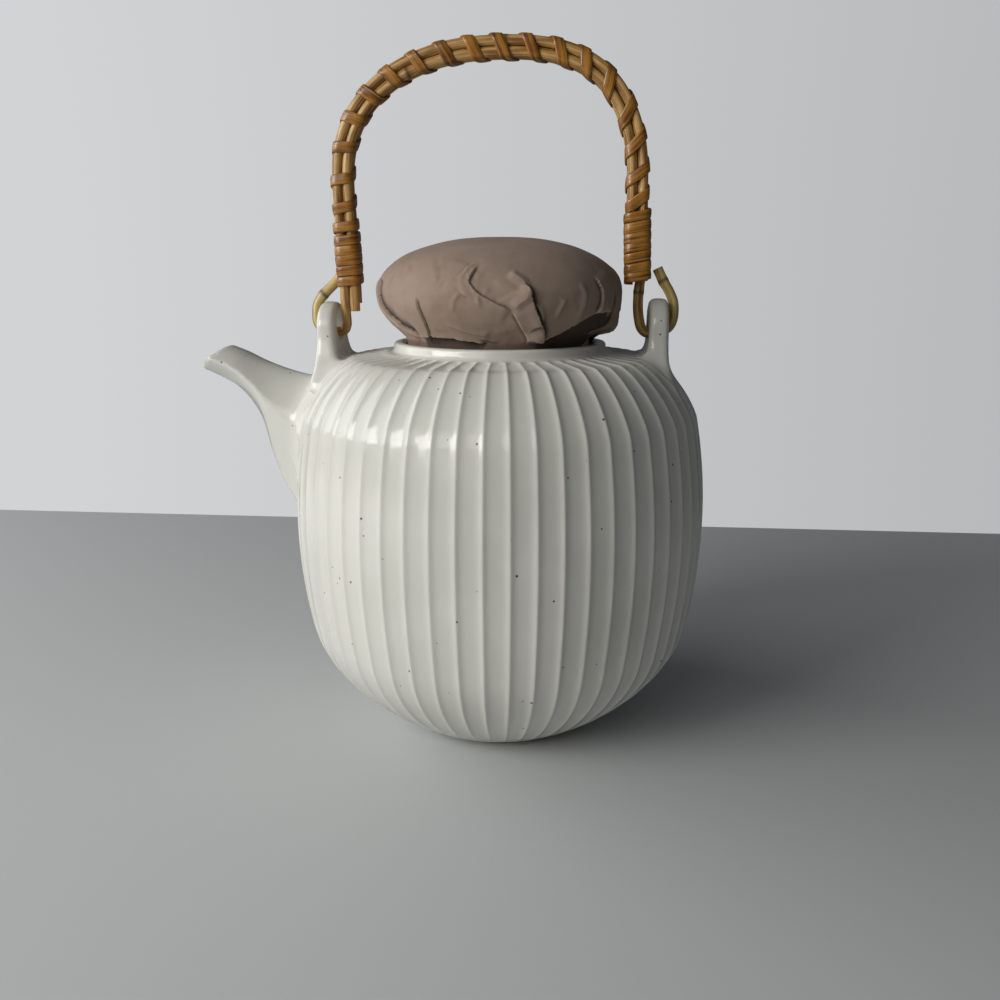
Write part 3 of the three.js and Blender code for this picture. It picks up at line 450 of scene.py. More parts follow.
class SpoutShape:
    """The spout's sections hang between its crown line and its keel line."""

    PITCH = 0.5
    LOW = (-118.0, 60.0)
    HIGH = (-50.0, 162.0)
    SECTIONS = 140
    REACH = 1.25  # the lines go on past the lip, so that the mouth can be cut off square
    SLOPE_STEP = 0.4

    def __init__(self):
        crown = spline([[-BELLY_R - out, CROWN_Z + up] for out, up in SPOUT_CROWN], 0.2)
        keel = spline([[-BELLY_R - out, BELLY_Z + up] for out, up in SPOUT_KEEL], 0.2)
        share = np.linspace(0, self.REACH, self.SECTIONS)
        crown, keel = (self.along(line, share) for line in (crown, keel))
        axes = [np.arange(low, high, self.PITCH) for low, high in zip(self.LOW, self.HIGH)]
        x, z = np.meshgrid(*axes, indexing="ij")
        chord = keel - crown
        side = chord[:, 0] * (z[..., None] - crown[:, 1]) - chord[:, 1] * (x[..., None] - crown[:, 0])
        if np.mean(side[0, 0]) < np.mean(side[-1, 0]):
            side = -side
        count = np.sum(side > 0, axis=-1)
        low = np.clip(count - 1, 0, self.SECTIONS - 2)
        a = np.take_along_axis(side, low[..., None], -1)[..., 0]
        b = np.take_along_axis(side, low[..., None] + 1, -1)[..., 0]
        t = np.clip(a / np.where(np.abs(a - b) < 1e-9, 1e-9, a - b), -4, 4)
        index = low + t
        self.share = index / (self.SECTIONS - 1) * self.REACH
        c = np.stack([np.interp(index, np.arange(self.SECTIONS), crown[:, k]) for k in (0, 1)], axis=-1)
        k = np.stack([np.interp(index, np.arange(self.SECTIONS), keel[:, k]) for k in (0, 1)], axis=-1)
        half = (c - k) / 2
        self.half = np.linalg.norm(half, axis=-1)
        offset = np.stack([x, z], axis=-1) - (c + k) / 2
        self.height = np.sum(offset * half, axis=-1) / self.half**2

    @staticmethod
    def along(line, share):
        index = share * (len(line) - 1)
        inside = np.stack([np.interp(index, np.arange(len(line)), line[:, k]) for k in (0, 1)], axis=1)
        end_step = (line[-1] - line[-8]) / 7
        return inside + np.clip(index - (len(line) - 1), 0, None)[:, None] * end_step

    def level(self, x, y, z, root_inset, lip_inset):
        """About 1 on the spout's surface, less inside."""
        tables = self.share, self.height, self.half
        share, height, half = (look_up(table, self.LOW, self.PITCH, x, z) for table in tables)
        share = np.clip(share, 0, 1)
        inset = root_inset + (lip_inset - root_inset) * share
        width = SPOUT_HALF_W + (SPOUT_LIP_HALF_W - SPOUT_HALF_W) * share - inset
        tall = height / (1 - inset / half)
        wide = np.abs(y) / width
        root_ridge, lip_ridge = SPOUT_RIDGE
        ridge = root_ridge + (lip_ridge - root_ridge) * share
        above = (tall - ridge) / (1 - ridge)
        below = np.clip((ridge - tall) / (ridge + 1), 0, None)
        top = above + wide**SPOUT_TOP_POWER
        side = wide + below**SPOUT_SIDE_POWER
        return smooth_max(top, side, SPOUT_RIDGE_ROUND)

    def distance(self, x, y, z, root_inset=0.0, lip_inset=0.0):
        here = self.level(x, y, z, root_inset, lip_inset)
        slopes = []
        for dx, dy, dz in np.eye(3) * self.SLOPE_STEP:
            ahead = self.level(x + dx, y + dy, z + dz, root_inset, lip_inset)
            behind = self.level(x - dx, y - dy, z - dz, root_inset, lip_inset)
            slopes.append((ahead - behind) / (2 * self.SLOPE_STEP))
        slope = np.sqrt(sum(s * s for s in slopes))
        return (here - 1) / np.clip(slope, 0.02, None)

    def past_lip(self, x, z):
        """How far a place lies outside the plane of the mouth."""
        crown_end = np.array([-BELLY_R - SPOUT_CROWN[-1][0], CROWN_Z + SPOUT_CROWN[-1][1]])
        keel_end = np.array([-BELLY_R - SPOUT_KEEL[-1][0], BELLY_Z + SPOUT_KEEL[-1][1]])
        chord = unit(crown_end - keel_end)
        return (x - keel_end[0]) * -chord[1] + (z - keel_end[1]) * chord[0]


OUTER = Outline(outer_outline())
CAVITY = Outline(cavity_outline())
SPOUT = SpoutShape()


def lug_distance(x, y, z, middle, inner_side, top_z):
    """A tab that stands on the shoulder, flared at its foot, with a hole along X."""
    foot = np.clip((CROWN_Z + LUG_FLARE_TOP - z) / LUG_FLARE_H, 0, 1.2) ** 2
    half_width = LUG_HALF_W + LUG_FOOT_FLARE * foot
    round_top = np.hypot(y * LUG_TOP_R / LUG_HALF_W, z - top_z) - LUG_TOP_R
    tab = np.where(z < top_z, np.abs(y) - half_width, round_top)
    inward = (x - middle) * inner_side
    inner_face = inward - LUG_THICK / 2 - LUG_INNER_FLARE * foot
    outer_face = -inward - LUG_THICK / 2 - LUG_OUTER_FLARE * foot
    lug = smooth_max(tab, np.maximum(inner_face, outer_face), LUG_EDGE)
    hole = np.hypot(y, z - LUG_HOLE_Z) - LUG_HOLE_R
    return smooth_max(lug, -hole, LUG_HOLE_EDGE)


def pot_distance(points):
    """Signed distance to the fired body, negative inside the clay."""
    x, y, z = points.T
    r = np.hypot(x, y)
    body = OUTER(r, z) + flute_depth(np.arctan2(y, x), r, z)
    near = (x < SPOUT_ROOM[0]) & (np.abs(y) < SPOUT_ROOM[1]) & (z > SPOUT_ROOM[2])
    if near.any():
        spout = SPOUT.distance(x[near], y[near], z[near])
        spout = smooth_max(spout, SPOUT.past_lip(x[near], z[near]), LIP_EDGE)
        body[near] = smooth_min(body[near], spout, SPOUT_BLEND)
    for side, top_z in zip((-1, 1), LUG_TOP_Z):
        middle = LUG_PAIR_X + side * LUG_REACH
        near = (np.abs(x - middle) < LUG_ROOM[0]) & (np.abs(y) < LUG_ROOM[1]) & (z > LUG_ROOM[2])
        if near.any():
            lug = lug_distance(x[near], y[near], z[near], middle, -side, top_z)
            body[near] = smooth_min(body[near], lug, LUG_BLEND)
    body = smooth_max(body, -CAVITY(r, z), CLAY_EDGE)
    near = (x < BORE_ROOM[0]) & (np.abs(y) < BORE_ROOM[1]) & (z > BORE_ROOM[2])
    if near.any():
        bore = SPOUT.distance(x[near], y[near], z[near], SPOUT_WALL, SPOUT_LIP_WALL)
        bore = np.maximum(bore, SPOUT.distance(x[near], y[near], z[near]) + SPOUT_LIP_WALL)
        bore = np.maximum(bore, -OUTER(r[near], z[near]) + 0.2)
        body[near] = smooth_max(body[near], -bore, BORE_EDGE)
        for y0, z0 in strainer_holes():
            hole = np.maximum(np.hypot(y[near] - y0, z[near] - z0) - STRAINER_HOLE_R, r[near] - BELLY_R)
            body[near] = smooth_max(body[near], -hole, CLAY_EDGE)
    return body


def strainer_holes():
    ring = [(STRAINER_PITCH * math.cos(a), STRAINER_PITCH * math.sin(a)) for a in np.arange(6) * math.pi / 3]
    return [(y, STRAINER_Z + z) for y, z in [(0.0, 0.0), *ring]]


def grid_surface(values):
    """Corners and quads of the surface where a grid's values cross zero. The first axis is a ring."""
    inside = values < 0
    inside = np.concatenate([inside, inside[:1]])
    wrapped = np.concatenate([values, values[:1]])
    count = values.shape[0]
    corner_sum = sum(
        inside[a : a + count, b : b + inside.shape[1] - 1, c : c + inside.shape[2] - 1].astype(np.int8)
        for a in (0, 1)
        for b in (0, 1)
        for c in (0, 1)
    )
    active = (corner_sum > 0) & (corner_sum < 8)
    cells = np.argwhere(active)
    number = np.full(active.shape, -1)
    number[active] = np.arange(len(cells))
    place = np.zeros((len(cells), 3))
    hits = np.zeros(len(cells))
    for axis in range(3):
        others = [k for k in range(3) if k != axis]
        for u in (0, 1):
            for v in (0, 1):
                start = cells.copy()
                start[:, others[0]] += u
                start[:, others[1]] += v
                stop = start.copy()
                stop[:, axis] += 1
                a = wrapped[tuple(start.T)]
                b = wrapped[tuple(stop.T)]
                cross = (a < 0) != (b < 0)
                t = np.where(cross, a / np.where(cross, a - b, 1), 0)
                point = start.astype(float)
                point[:, axis] += t
                place[cross] += point[cross]
                hits[cross] += 1
    place /= hits[:, None]
    quads = []
    for axis in range(3):
        others = [k for k in range(3) if k != axis]
        lower = [slice(0, count), slice(0, values.shape[1]), slice(0, values.shape[2])]
        upper = list(lower)
        if axis == 0:
            a, b = inside[:-1], inside[1:]
        else:
            lower[axis] = slice(0, values.shape[axis] - 1)
            upper[axis] = slice(1, values.shape[axis])
            a, b = inside[:count][tuple(lower)], inside[:count][tuple(upper)]
        edges = np.argwhere(a != b)
        keep = np.ones(len(edges), bool)
        for k in others:
            if k != 0:
                keep &= (edges[:, k] > 0) & (edges[:, k] < values.shape[k] - 1)
        edges = edges[keep]
        leaving = a[tuple(edges.T)]
        around = []
        for du, dv in ((0, 0), (1, 0), (1, 1), (0, 1)):
            cell = edges.copy()
            cell[:, others[0]] -= du
            cell[:, others[1]] -= dv
            cell[:, 0] %= count
            around.append(number[tuple(cell.T)])
        quad = np.stack(around, axis=1)
        flip = leaving if axis != 1 else ~leaving
        quad[flip] = quad[flip][:, ::-1]
        quads.append(quad)
    return place, np.concatenate(quads)


def mesh_piece(name, vertices, faces, body, corners=None):
    """A mesh object from millimetres, riding on a body."""
    mesh = bpy.data.meshes.new(name)
    mesh.from_pydata((np.asarray(vertices) * MM).tolist(), [], [list(map(int, face)) for face in faces])
    piece = bpy.data.objects.new(name, mesh)
    bpy.context.scene.collection.objects.link(piece)
    mesh.polygons.foreach_set("use_smooth", [True] * len(mesh.polygons))
    if corners is not None:
        layer = mesh.uv_layers.new(name="along")
        layer.data.foreach_set("uv", np.asarray(corners, float).ravel())
    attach(piece, body)
    return piece


def close_and_turn_out(piece):
    """Fill a mesh's open edges, such as the pot's base inside the grid, and turn its faces outwards."""
    made = bmesh.new()
    made.from_mesh(piece.data)
    open_edges = [edge for edge in made.edges if edge.is_boundary]
    bmesh.ops.holes_fill(made, edges=open_edges, sides=0)
    bmesh.ops.recalc_face_normals(made, faces=made.faces)
    made.to_mesh(piece.data)
    made.free()
    piece.data.polygons.foreach_set("use_smooth", [True] * len(piece.data.polygons))


def mark_points(piece, name, values):
    """A number at each corner of a piece's mesh, for its material."""
    piece.data.attributes.new(name, "FLOAT", "POINT").data.foreach_set("value", values)


def column_angle(column):
    """Angle of a column of the pot's mesh, where the columns crowd together at the flutes' edges."""
    turn = column / COLUMNS_PER_FLUTE
    turn = turn - ARRIS_CROWDING * np.sin(2 * math.pi * turn) / (2 * math.pi)
    return (turn + FLUTE_TURN) * 2 * math.pi / FLUTES


def make_pot():
    columns = FLUTES * COLUMNS_PER_FLUTE
    # half a step off, so that a column of corners runs along each arris
    angles = column_angle(np.arange(columns) + 0.5)
    radii = np.arange(*GRID_R, GRID_PITCH)
    heights = np.arange(*GRID_Z, GRID_PITCH)
    r, z = (grid.ravel() for grid in np.meshgrid(radii, heights, indexing="ij"))
    values = np.empty((columns, len(radii), len(heights)), np.float32)
    for start in range(0, columns, GRID_CHUNK):
        chunk = angles[start : start + GRID_CHUNK]
        points = around_axis(r, chunk[:, None], z).reshape(-1, 3)
        values[start : start + len(chunk)] = pot_distance(points).reshape(-1, *values.shape[1:])
    place, quads = grid_surface(values)
    angle = column_angle(place[:, 0] + 0.5)
    radius = GRID_R[0] + place[:, 1] * GRID_PITCH
    points = around_axis(radius, angle, GRID_Z[0] + place[:, 2] * GRID_PITCH)
    for _ in range(SETTLE_ROUNDS):
        level = pot_distance(points)
        steps = np.eye(3) * SETTLE_SPAN
        rises = [pot_distance(points + step) - pot_distance(points - step) for step in steps]
        slope = np.stack(rises, axis=1) / (2 * SETTLE_SPAN)
        move = level[:, None] * slope / np.clip(np.sum(slope**2, axis=1), 0.05, None)[:, None]
        points -= np.clip(move, -SETTLE_REACH, SETTLE_REACH)
    pot = mesh_piece("glazed_pot", points, quads, "pot")
    close_and_turn_out(pot)
    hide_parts("pot_body")
    return pot


class Bundle:
    """Middle line of the handle's bundle of canes, from the left leg's foot to the right's."""

    STEP = 0.25

    def __init__(self):
        left_foot, right_foot = (
            np.array([LUG_PAIR_X + side * HALF_SPAN, AXIS_Z + LEG_FOOT_RISE]) for side in (-1, 1)
        )
        arch = np.array([self.arch_point(angle) for angle in np.linspace(0, math.pi, 37)])
        share = np.arange(4)[:, None] / 4
        left_leg = left_foot + (arch[0] - left_foot) * share
        right_leg = right_foot + (arch[-1] - right_foot) * share[::-1]
        self.line = spline(np.concatenate([left_leg, arch, right_leg]), self.STEP)
        self.way = unit(np.gradient(self.line, axis=0))
        self.length = (len(self.line) - 1) * self.STEP

    @staticmethod
    def arch_point(angle):
        side = -np.sign(math.cos(angle)) * abs(math.cos(angle)) ** (2 / ARCH_POWER)
        up = abs(math.sin(angle)) ** (2 / ARCH_POWER)
        x = LUG_PAIR_X + LEG_LEAN + HALF_SPAN * side + (CREST_LEAN - LEG_LEAN) * up**3
        return x, AXIS_Z + LEG_RISE + (CREST_RISE - LEG_RISE) * up

    def place(self, along, outwards, backwards):
        """Points of the bundle at lengths along its line, moved outwards and backwards from it."""
        index = np.asarray(along, float) / self.STEP
        last = len(self.line) - 1
        inside = np.clip(index, 0, last)
        past = (index - inside) * self.STEP
        x, z, way_x, way_z = (
            np.interp(inside, np.arange(last + 1), table)
            for table in (*self.line.T, *self.way.T)
        )
        x = x + past * way_x - outwards * way_z
        z = z + past * way_z + outwards * way_x
        return np.stack([x, np.broadcast_to(backwards, x.shape), z], axis=-1)


def lofted(rings):
    """Vertices, faces and UV corners of a closed skin over rings of points."""
    rings = np.asarray(rings, float)
    count, sides = rings.shape[:2]
    middles = rings.mean(axis=1)
    along = length_to(middles) / UV_UNIT
    edge = np.linalg.norm(rings - np.roll(rings, -1, axis=1), axis=2)
    around = np.concatenate([[0], np.cumsum(np.median(edge, axis=0))]) / UV_UNIT
    faces, corners = [], []
    for i in range(count - 1):
        for k in range(sides):
            after = (k + 1) % sides
            faces.append((i * sides + k, i * sides + after, (i + 1) * sides + after, (i + 1) * sides + k))
            u0, u1, v0, v1 = along[i], along[i + 1], around[k], around[k + 1]
            corners.extend([(u0, v0), (u0, v1), (u1, v1), (u1, v0)])
    vertices = list(rings.reshape(-1, 3))
    for ring, order in ((0, -1), (count - 1, 1)):
        vertices.append(middles[ring])
        for k in range(sides):
            pair = (ring * sides + k, ring * sides + (k + 1) % sides)
            faces.append((*pair[::order], len(vertices) - 1))
            corners.extend([(0, around[k]), (0, around[k + 1]), (0, 0)])
    return np.array(vertices), faces, corners


def frames_along(line):
    """Two directions across a line at each of its points, with no twist from one to the next."""
    way = unit(np.gradient(line, axis=0))
    side = np.cross(way[0], (0, 1, 0))
    if np.linalg.norm(side) < 0.1:
        side = np.cross(way[0], (1, 0, 0))
    sides = []
    for direction in way:
        side = unit(side - direction * np.dot(side, direction))
        sides.append(side)
    sides = np.array(sides)
    return sides, np.cross(way, sides)


def make_cane(name, node, points, joints, seed):
    """A round cane along points, with cut ends and ring-shaped joints near the given places."""
    line = spline(points, CANE_STEP)
    rng = np.random.default_rng(seed)
    # the cut edges are slightly broken
    start, stop = line[:1] + 0.3 * (line[1:2] - line[:1]), line[-1:] - 0.3 * (line[-1:] - line[-2:-1])
    line = np.concatenate([line[:1], start, line[1:-1], stop, line[-1:]])
    across, other = frames_along(line)
    along = length_to(line)
    radius = np.full(len(line), CANE_R)
    for wave in CANE_WAVES:
        radius += CANE_UNEVEN * np.sin(along / wave * 2 * math.pi + rng.uniform(0, 6))
    mark = np.zeros(len(line))
    for place in joints:
        nearest = along[np.argmin(np.linalg.norm(line - np.array(place), axis=1))]
        radius += CANE_JOINT_SWELL * np.exp(-(((along - nearest) / JOINT_WIDTH) ** 2))
        mark += np.exp(-(((along - nearest - JOINT_MARK_OFF) / JOINT_MARK_WIDTH) ** 2))
    radius[[0, -1]] -= CUT_BEVEL
    angle = np.arange(CANE_SIDES) * 2 * math.pi / CANE_SIDES
    # a cane is never quite round
    squeeze = 1 + CANE_UNEVEN * np.cos(2 * angle + rng.uniform(0, 6))
    rings = line[:, None] + (radius[:, None] * squeeze)[..., None] * (
        np.cos(angle)[None, :, None] * across[:, None] + np.sin(angle)[None, :, None] * other[:, None]
    )
    vertices, faces, corners = lofted(rings)
    piece = mesh_piece(name, vertices, faces, "handle", corners)
    mark_points(piece, "joint", np.concatenate([np.repeat(np.clip(mark, 0, 1), CANE_SIDES), [0, 0]]))
    cut = np.zeros(len(faces), int)
    cut[-2 * CANE_SIDES :] = 1
    piece.data.polygons.foreach_set("material_index", cut)
    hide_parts(node)
    return piece


def make_canes():
    along = np.linspace(0, BUNDLE.length, 60)
    straight = np.linspace(0, 1, 6)[:-1, None]
    canes = []
    for name, node, outwards, backwards, past, joints in SHORT_CANES:
        points = BUNDLE.place(along, outwards * HALF_PITCH, backwards * HALF_PITCH)
        foot = points[0] - (0, 0, past)
        rest = points[2:] if past < 0 else points[1:]
        points = np.concatenate([foot + (rest[0] - foot) * straight, rest])
        canes.append(make_cane(name, node, points, joints, len(canes)))
    hook = [(x, y, AXIS_Z + rise) for x, y, rise in LEFT_LOOP]
    hook.extend(BUNDLE.place(along[2:-2], HALF_PITCH, HALF_PITCH))
    hook.extend((x, y, AXIS_Z + rise) for x, y, rise in RIGHT_HOOK)
    canes.append(make_cane("hook_rattan", "hook_cane", hook, HOOK_JOINTS, len(canes)))
    return canes


def make_strip(name, node, turns, width, lift, seed):
    """One peel strip wound round the bundle, which crosses the front at the given places."""
    rng = np.random.default_rng(seed)
    turns = np.asarray(turns, float)
    number = np.arange(len(turns))
    steps = round((len(turns) - 1 + 0.9) * TURN_STEPS)
    turn = np.linspace(-0.45, len(turns) - 1 + 0.45, steps)
    pitch = np.gradient(turns)
    along = np.interp(turn, number, turns) + np.where(turn < 0, turn * pitch[0], 0)
    along += np.where(turn > number[-1], (turn - number[-1]) * pitch[-1], 0)
    half = BUNDLE.length / 2
    rightward = smooth_step(along, half * 0.3, half * 1.7)
    slant = LEFT_LEG_SLANT + (RIGHT_LEG_SLANT - LEFT_LEG_SLANT) * rightward
    local = np.interp(turn, number, pitch)
    if width > local.min():
        slant = slant * 0.25
    along = along - slant * local * np.sin(2 * math.pi * turn) / (2 * math.pi)
    angle = 2 * math.pi * turn + math.pi / 2
    cosine, sine = np.cos(angle), np.sin(angle)
    wobble = np.interp(turn, number, rng.uniform(-0.06, 0.06, len(turns)))
    past_ends = smooth_step(-turn, *STRIP_TUCK_TURNS) + smooth_step(turn - number[-1], *STRIP_TUCK_TURNS)
    tuck = STRIP_TUCK * past_ends
    reach = HALF_PITCH + CANE_R + STRIP_THICK / 2 + STRIP_GAP + lift + wobble * 0.5 - tuck
    radius = reach / (cosine**TURN_POWER + sine**TURN_POWER) ** (1 / TURN_POWER)
    centres = BUNDLE.place(along, radius * cosine, -radius * sine)
    normals = BUNDLE.place(along, (radius + 1) * cosine, -(radius + 1) * sine) - centres
    corner_power = TURN_POWER - 1
    outward_way = BUNDLE.place(along, cosine**corner_power, -(sine**corner_power))
    outward_way -= BUNDLE.place(along, 0.0, 0.0)
    normals = unit(outward_way) + STRIP_FACING * normals
    way = unit(np.gradient(centres, axis=0))
    across = unit(np.cross(way, normals))
    normals = np.cross(across, way)
    share, outer = STRIP_SECTION.T
    spread = width * (1 + np.interp(turn, number, rng.uniform(-0.06, 0.05, len(turns)))) / 2
    lean = np.interp(turn, number, rng.uniform(-0.2, 0.2, len(turns)))
    rings = centres[:, None] + (share[None, :] * spread[:, None])[..., None] * across[:, None]
    lifts = outer[None, :] * STRIP_THICK + share[None, :] * lean[:, None]
    rings = rings + lifts[..., None] * normals[:, None]
    vertices, faces, corners = lofted(rings)
    piece = mesh_piece(name, vertices, faces, "handle", corners)
    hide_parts(node)
    return piece


def make_strips():
    return [
        make_strip("left_peel", "left_binding", LEFT_TURNS, CLOSE_STRIP_W, 0.35, 11),
        make_strip("arch_peel", "arch_binding", ARCH_TURNS, ARCH_STRIP_W, 0.0, 12),
        make_strip("right_peel", "right_binding", RIGHT_TURNS, CLOSE_STRIP_W - 0.15, 0.55, 13),
    ]


def make_lid():
    """The glazed lid, turned, which the paper hides."""
    dome = [
        (LID_R * math.cos(a) ** LID_DOME_POWER, LID_RIM_Z + LID_DOME_H * math.sin(a))
        for a in np.linspace(0, math.pi / 2, 26)[:-1]
    ]
    outline = rounded([*LID_FLARE, *dome, (0, LID_RIM_Z + LID_DOME_H)], 1.2, 2)[:-1]
    hollow = rounded(LID_HOLLOW, 2.0, 3)[1:]
    angle = np.arange(LID_SIDES) * 2 * math.pi / LID_SIDES
    vertices = [(0, 0, LID_RIM_Z + LID_DOME_H), (0, 0, LID_HOLLOW[0][1])]
    for r, z in [*outline[::-1], *hollow]:
        vertices.extend((r * math.cos(a), r * math.sin(a), z) for a in angle)
    starts = range(2, len(vertices), LID_SIDES)
    outside, inside = starts[: len(outline)], starts[len(outline) :]
    faces = []
    for a, b in [*zip(outside, outside[1:]), *zip(inside, inside[1:]), (inside[-1], outside[-1])]:
        for k in range(LID_SIDES):
            after = (k + 1) % LID_SIDES
            faces.append((a + k, b + k, b + after, a + after))
    for centre, start, order in ((0, outside[0], 1), (1, inside[0], -1)):
        for k in range(LID_SIDES):
            pair = (start + k, start + (k + 1) % LID_SIDES)[::order]
            faces.append((centre, *pair))
    lid = mesh_piece("glazed_lid", vertices, faces, "lid")
    close_and_turn_out(lid)
    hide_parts("lid")
    return lid


class Noise:
    """Smooth random values in space, between -1 and 1."""

    SIZE = 32

    def __init__(self, seed):
        self.table = np.random.default_rng(seed).uniform(-1, 1, (self.SIZE,) * 3)

    def __call__(self, points, cell):
        place = points / cell
        low = np.floor(place).astype(int)
        share = place - low
        share = share * share * (3 - 2 * share)
        total = 0
        for corner in np.ndindex(2, 2, 2):
            weight = np.prod(np.where(corner, share, 1 - share), axis=1)
            total = total + weight * self.table[tuple(((low + corner) % self.SIZE).T)]
        return total


# Creases of the paper. Places are (azimuth in degrees, height), and -90 faces the front. The paper
# to the left of the way along a fold lies on top, by "lift", and sinks by "groove" on the other side.
FLAP = [
    (-64.5, 146), (-63, 147), (-58.5, 148), (-54.5, 149), (-49.5, 151), (-44.5, 153), (-38.5, 154.5),
    (-31.5, 155), (-24, 154.5),
]
FOLDS = [
    # lift, groove, groove's width, fade, places
    (0.55, 0.7, 0.5, 7.0, [
        (-127, 143.5), (-124.5, 147.5), (-123, 150.5), (-123, 154), (-123.5, 156.5), (-123, 159),
    ]),
    (1.5, 1.4, 0.75, 5.0, [
        (-63, 143.5), (-64, 147), (-65.5, 150), (-69, 153.5), (-71, 156), (-72.5, 159), (-73.5, 161.5),
        (-74.5, 163),
    ]),
    (0.8, 0.45, 0.6, 4.0, [(-80, 155), (-78, 153), (-75, 150), (-71, 146.5), (-70, 144)]),
    (0.8, 0.6, 0.6, 6.0, [(-38, 165), (-36.5, 162.5), (-35.5, 160), (-36, 157), (-40, 154)]),
    (0.75, 0.4, 0.45, 6.0, [
        (-80, 155), (-88, 157.5), (-94, 160), (-97, 162), (-98.5, 163.5), (-97.5, 166), (-95, 168),
    ]),
    (0.9, 1.4, 2.0, 9.0, [
        (-135, 145), (-139.5, 146.5), (-144, 148), (-148, 150), (-152.5, 152), (-156.5, 155), (-158.5, 158),
        (-160, 162), (-160, 164.5),
    ]),
    (1.4, 1.4, 2.2, 4.0, [
        (-134, 146.5), (-126, 147), (-117.5, 146.5), (-110.5, 146.5), (-104.5, 146), (-98.5, 145.5),
        (-92, 144),
    ]),
    (1.8, 1.4, 3.5, 5.0, FLAP),
    (0.9, 0.8, 0.7, 5.0, [(-20, 160.5), (-18.5, 153), (-22, 148.5), (-30, 146)]),
    (0.7, 0.6, 0.5, 3.0, [(-71, 149), (-69.5, 151), (-66, 151), (-63.5, 148.5), (-62.5, 146)]),
    (0.6, 0.7, 0.6, 2.5, [(-71.5, 145), (-69.5, 146.5), (-67.5, 147), (-65.5, 146.5), (-64.5, 145)]),
    (0.6, 0.5, 0.5, 3.0, [(-95.5, 146.5), (-91.5, 145.5), (-85, 144)]),
]
RIDGES = [
    # height, width, places
    (0.9, 2.2, [
        (-81, 166.5), (-78, 165), (-75, 163.5), (-74, 161.5), (-75, 159), (-77.5, 157.5), (-80, 155.5),
    ]),
    (0.5, 1.2, [(-55.5, 159), (-58, 156), (-60, 152.5)]),
    (0.3, 1.0, [(-58.5, 159.5), (-57.5, 157)]),
    (0.55, 1.6, [(-71, 158), (-67, 154.5), (-65.5, 151)]),
    (-0.4, 1.2, [(-141.5, 166.5), (-143, 164.5), (-143, 162), (-140.5, 160)]),
    (0.3, 0.9, [(-140, 164), (-142.5, 160.5), (-141.5, 158.5)]),
    (0.45, 1.0, [(-94, 160), (-94.5, 158.5), (-93, 156)]),
    (0.35, 0.9, [(-96.5, 169), (-99, 168), (-101.5, 165.5), (-102.5, 163.5)]),
    (-0.35, 0.8, [(-98, 169.5), (-100.5, 167.5), (-103, 165)]),
    (0.3, 0.8, [(-102.5, 163.5), (-100.5, 162), (-97.5, 162.5)]),
    (-0.3, 1.0, [(-104.5, 162.5), (-101.5, 160), (-97, 158)]),
    (0.3, 1.2, [(-101, 161), (-104.5, 158), (-106, 154)]),
    (0.5, 1.5, [(-111, 151), (-104, 149.5), (-96, 148), (-90, 147.5)]),
    (0.45, 1.6, [(-48, 163.5), (-46, 158.5), (-49, 152.5)]),
    (0.5, 1.4, [(-30, 158), (-34, 155), (-35, 151)]),
    (0.4, 1.2, [(-118.5, 143.5), (-118.5, 145.5), (-122, 146)]),
]
# Bulges as (azimuth, height, reach along the rim in degrees, reach in height, millimetres out)
BULGES = [
    (-67, 147.5, 3.6, 2.4, 1.5),
    (-13, 149.5, 8.0, 3.0, 3.4),
    (-126, 145, 5.5, 1.5, 1.2),
    (-90, 161.5, 8.0, 4.5, -0.5),
]
GATHER_RNG = np.random.default_rng(23)
GATHERS = 24  # small folds under the rim, outside the span that the named ones take
GATHER_SPAN = (-12.0, 190.0)
SMALL_CREASES = 150
CREASE_HALF = 0.24  # half the width of a fold's edge
CREASE_REACH = 18.0  # no crease moves the paper farther off than this
WORN_WIDTH = 0.35  # of the paler line along a crease
WORN = 1.3
# strengths of the painted shade in the folds' grooves and near the collar
SHADED = 1.2
NECK_SHADED = 0.5
FLAP_PAINTED_SHADOW = 0.7
FLAP_SHADOW_FROM = (-66, -61)  # azimuths between which the painted shadow under the large flap begins
FLAP_SHADOW_TO = (-24, -13)


def gather_folds():
    draw = GATHER_RNG.uniform
    low, high = GATHER_SPAN
    folds = []
    for azimuth in np.linspace(low, high, GATHERS):
        azimuth += draw(-3, 3)
        lean = draw(-9, 9)
        top = draw(153, 165)
        places = [(azimuth, 143.0), (azimuth + lean * 0.4, 148.5), (azimuth + lean, top)]
        if draw() < 0.5:
            places = places[::-1]
        lift, groove, fade = (draw(*span) for span in ((0.4, 1.0), (0.4, 0.9), (3.5, 7.0)))
        folds.append((lift, groove, 0.6, fade, places))
    return folds


def small_creases():
    """Short straight creases, mostly low on the paper, some of them crossing in the crinkled patch."""
    draw = GATHER_RNG.uniform
    creases = []
    for number in range(SMALL_CREASES):
        crinkled = number % 5 == 0
        if crinkled:
            azimuth, up = GATHER_RNG.normal(-100, 5.0), GATHER_RNG.normal(162, 3.5)
            length, lift = draw(2, 6), draw(-0.36, 0.4)
        else:
            azimuth, up = draw(-180, 180), 145 + 26 * draw() ** 1.3
            length, lift = draw(4, 14), draw(-0.28, 0.3)
        turn = draw(0, math.pi)
        reach = length / 2 * np.array([math.cos(turn) / 0.72, math.sin(turn) * 0.7])
        places = [(azimuth - reach[0], up - reach[1]), (azimuth + reach[0], up + reach[1])]
        width = draw(0.8, 1.6) if crinkled else draw(1.5, 4.0)
        creases.append((lift, width, places))
    return creases


def crease_line(places):
    """Even points along a crease, on the paper's plain form."""
    azimuth, height = np.radians([place[0] for place in places]), np.array([place[1] for place in places])
    line_r, line_z = np.array(PAPER_LINE)[::-1].T
    radius = np.interp(height, line_z, line_r)
    return spline(around_axis(radius, azimuth, height), 1.2)


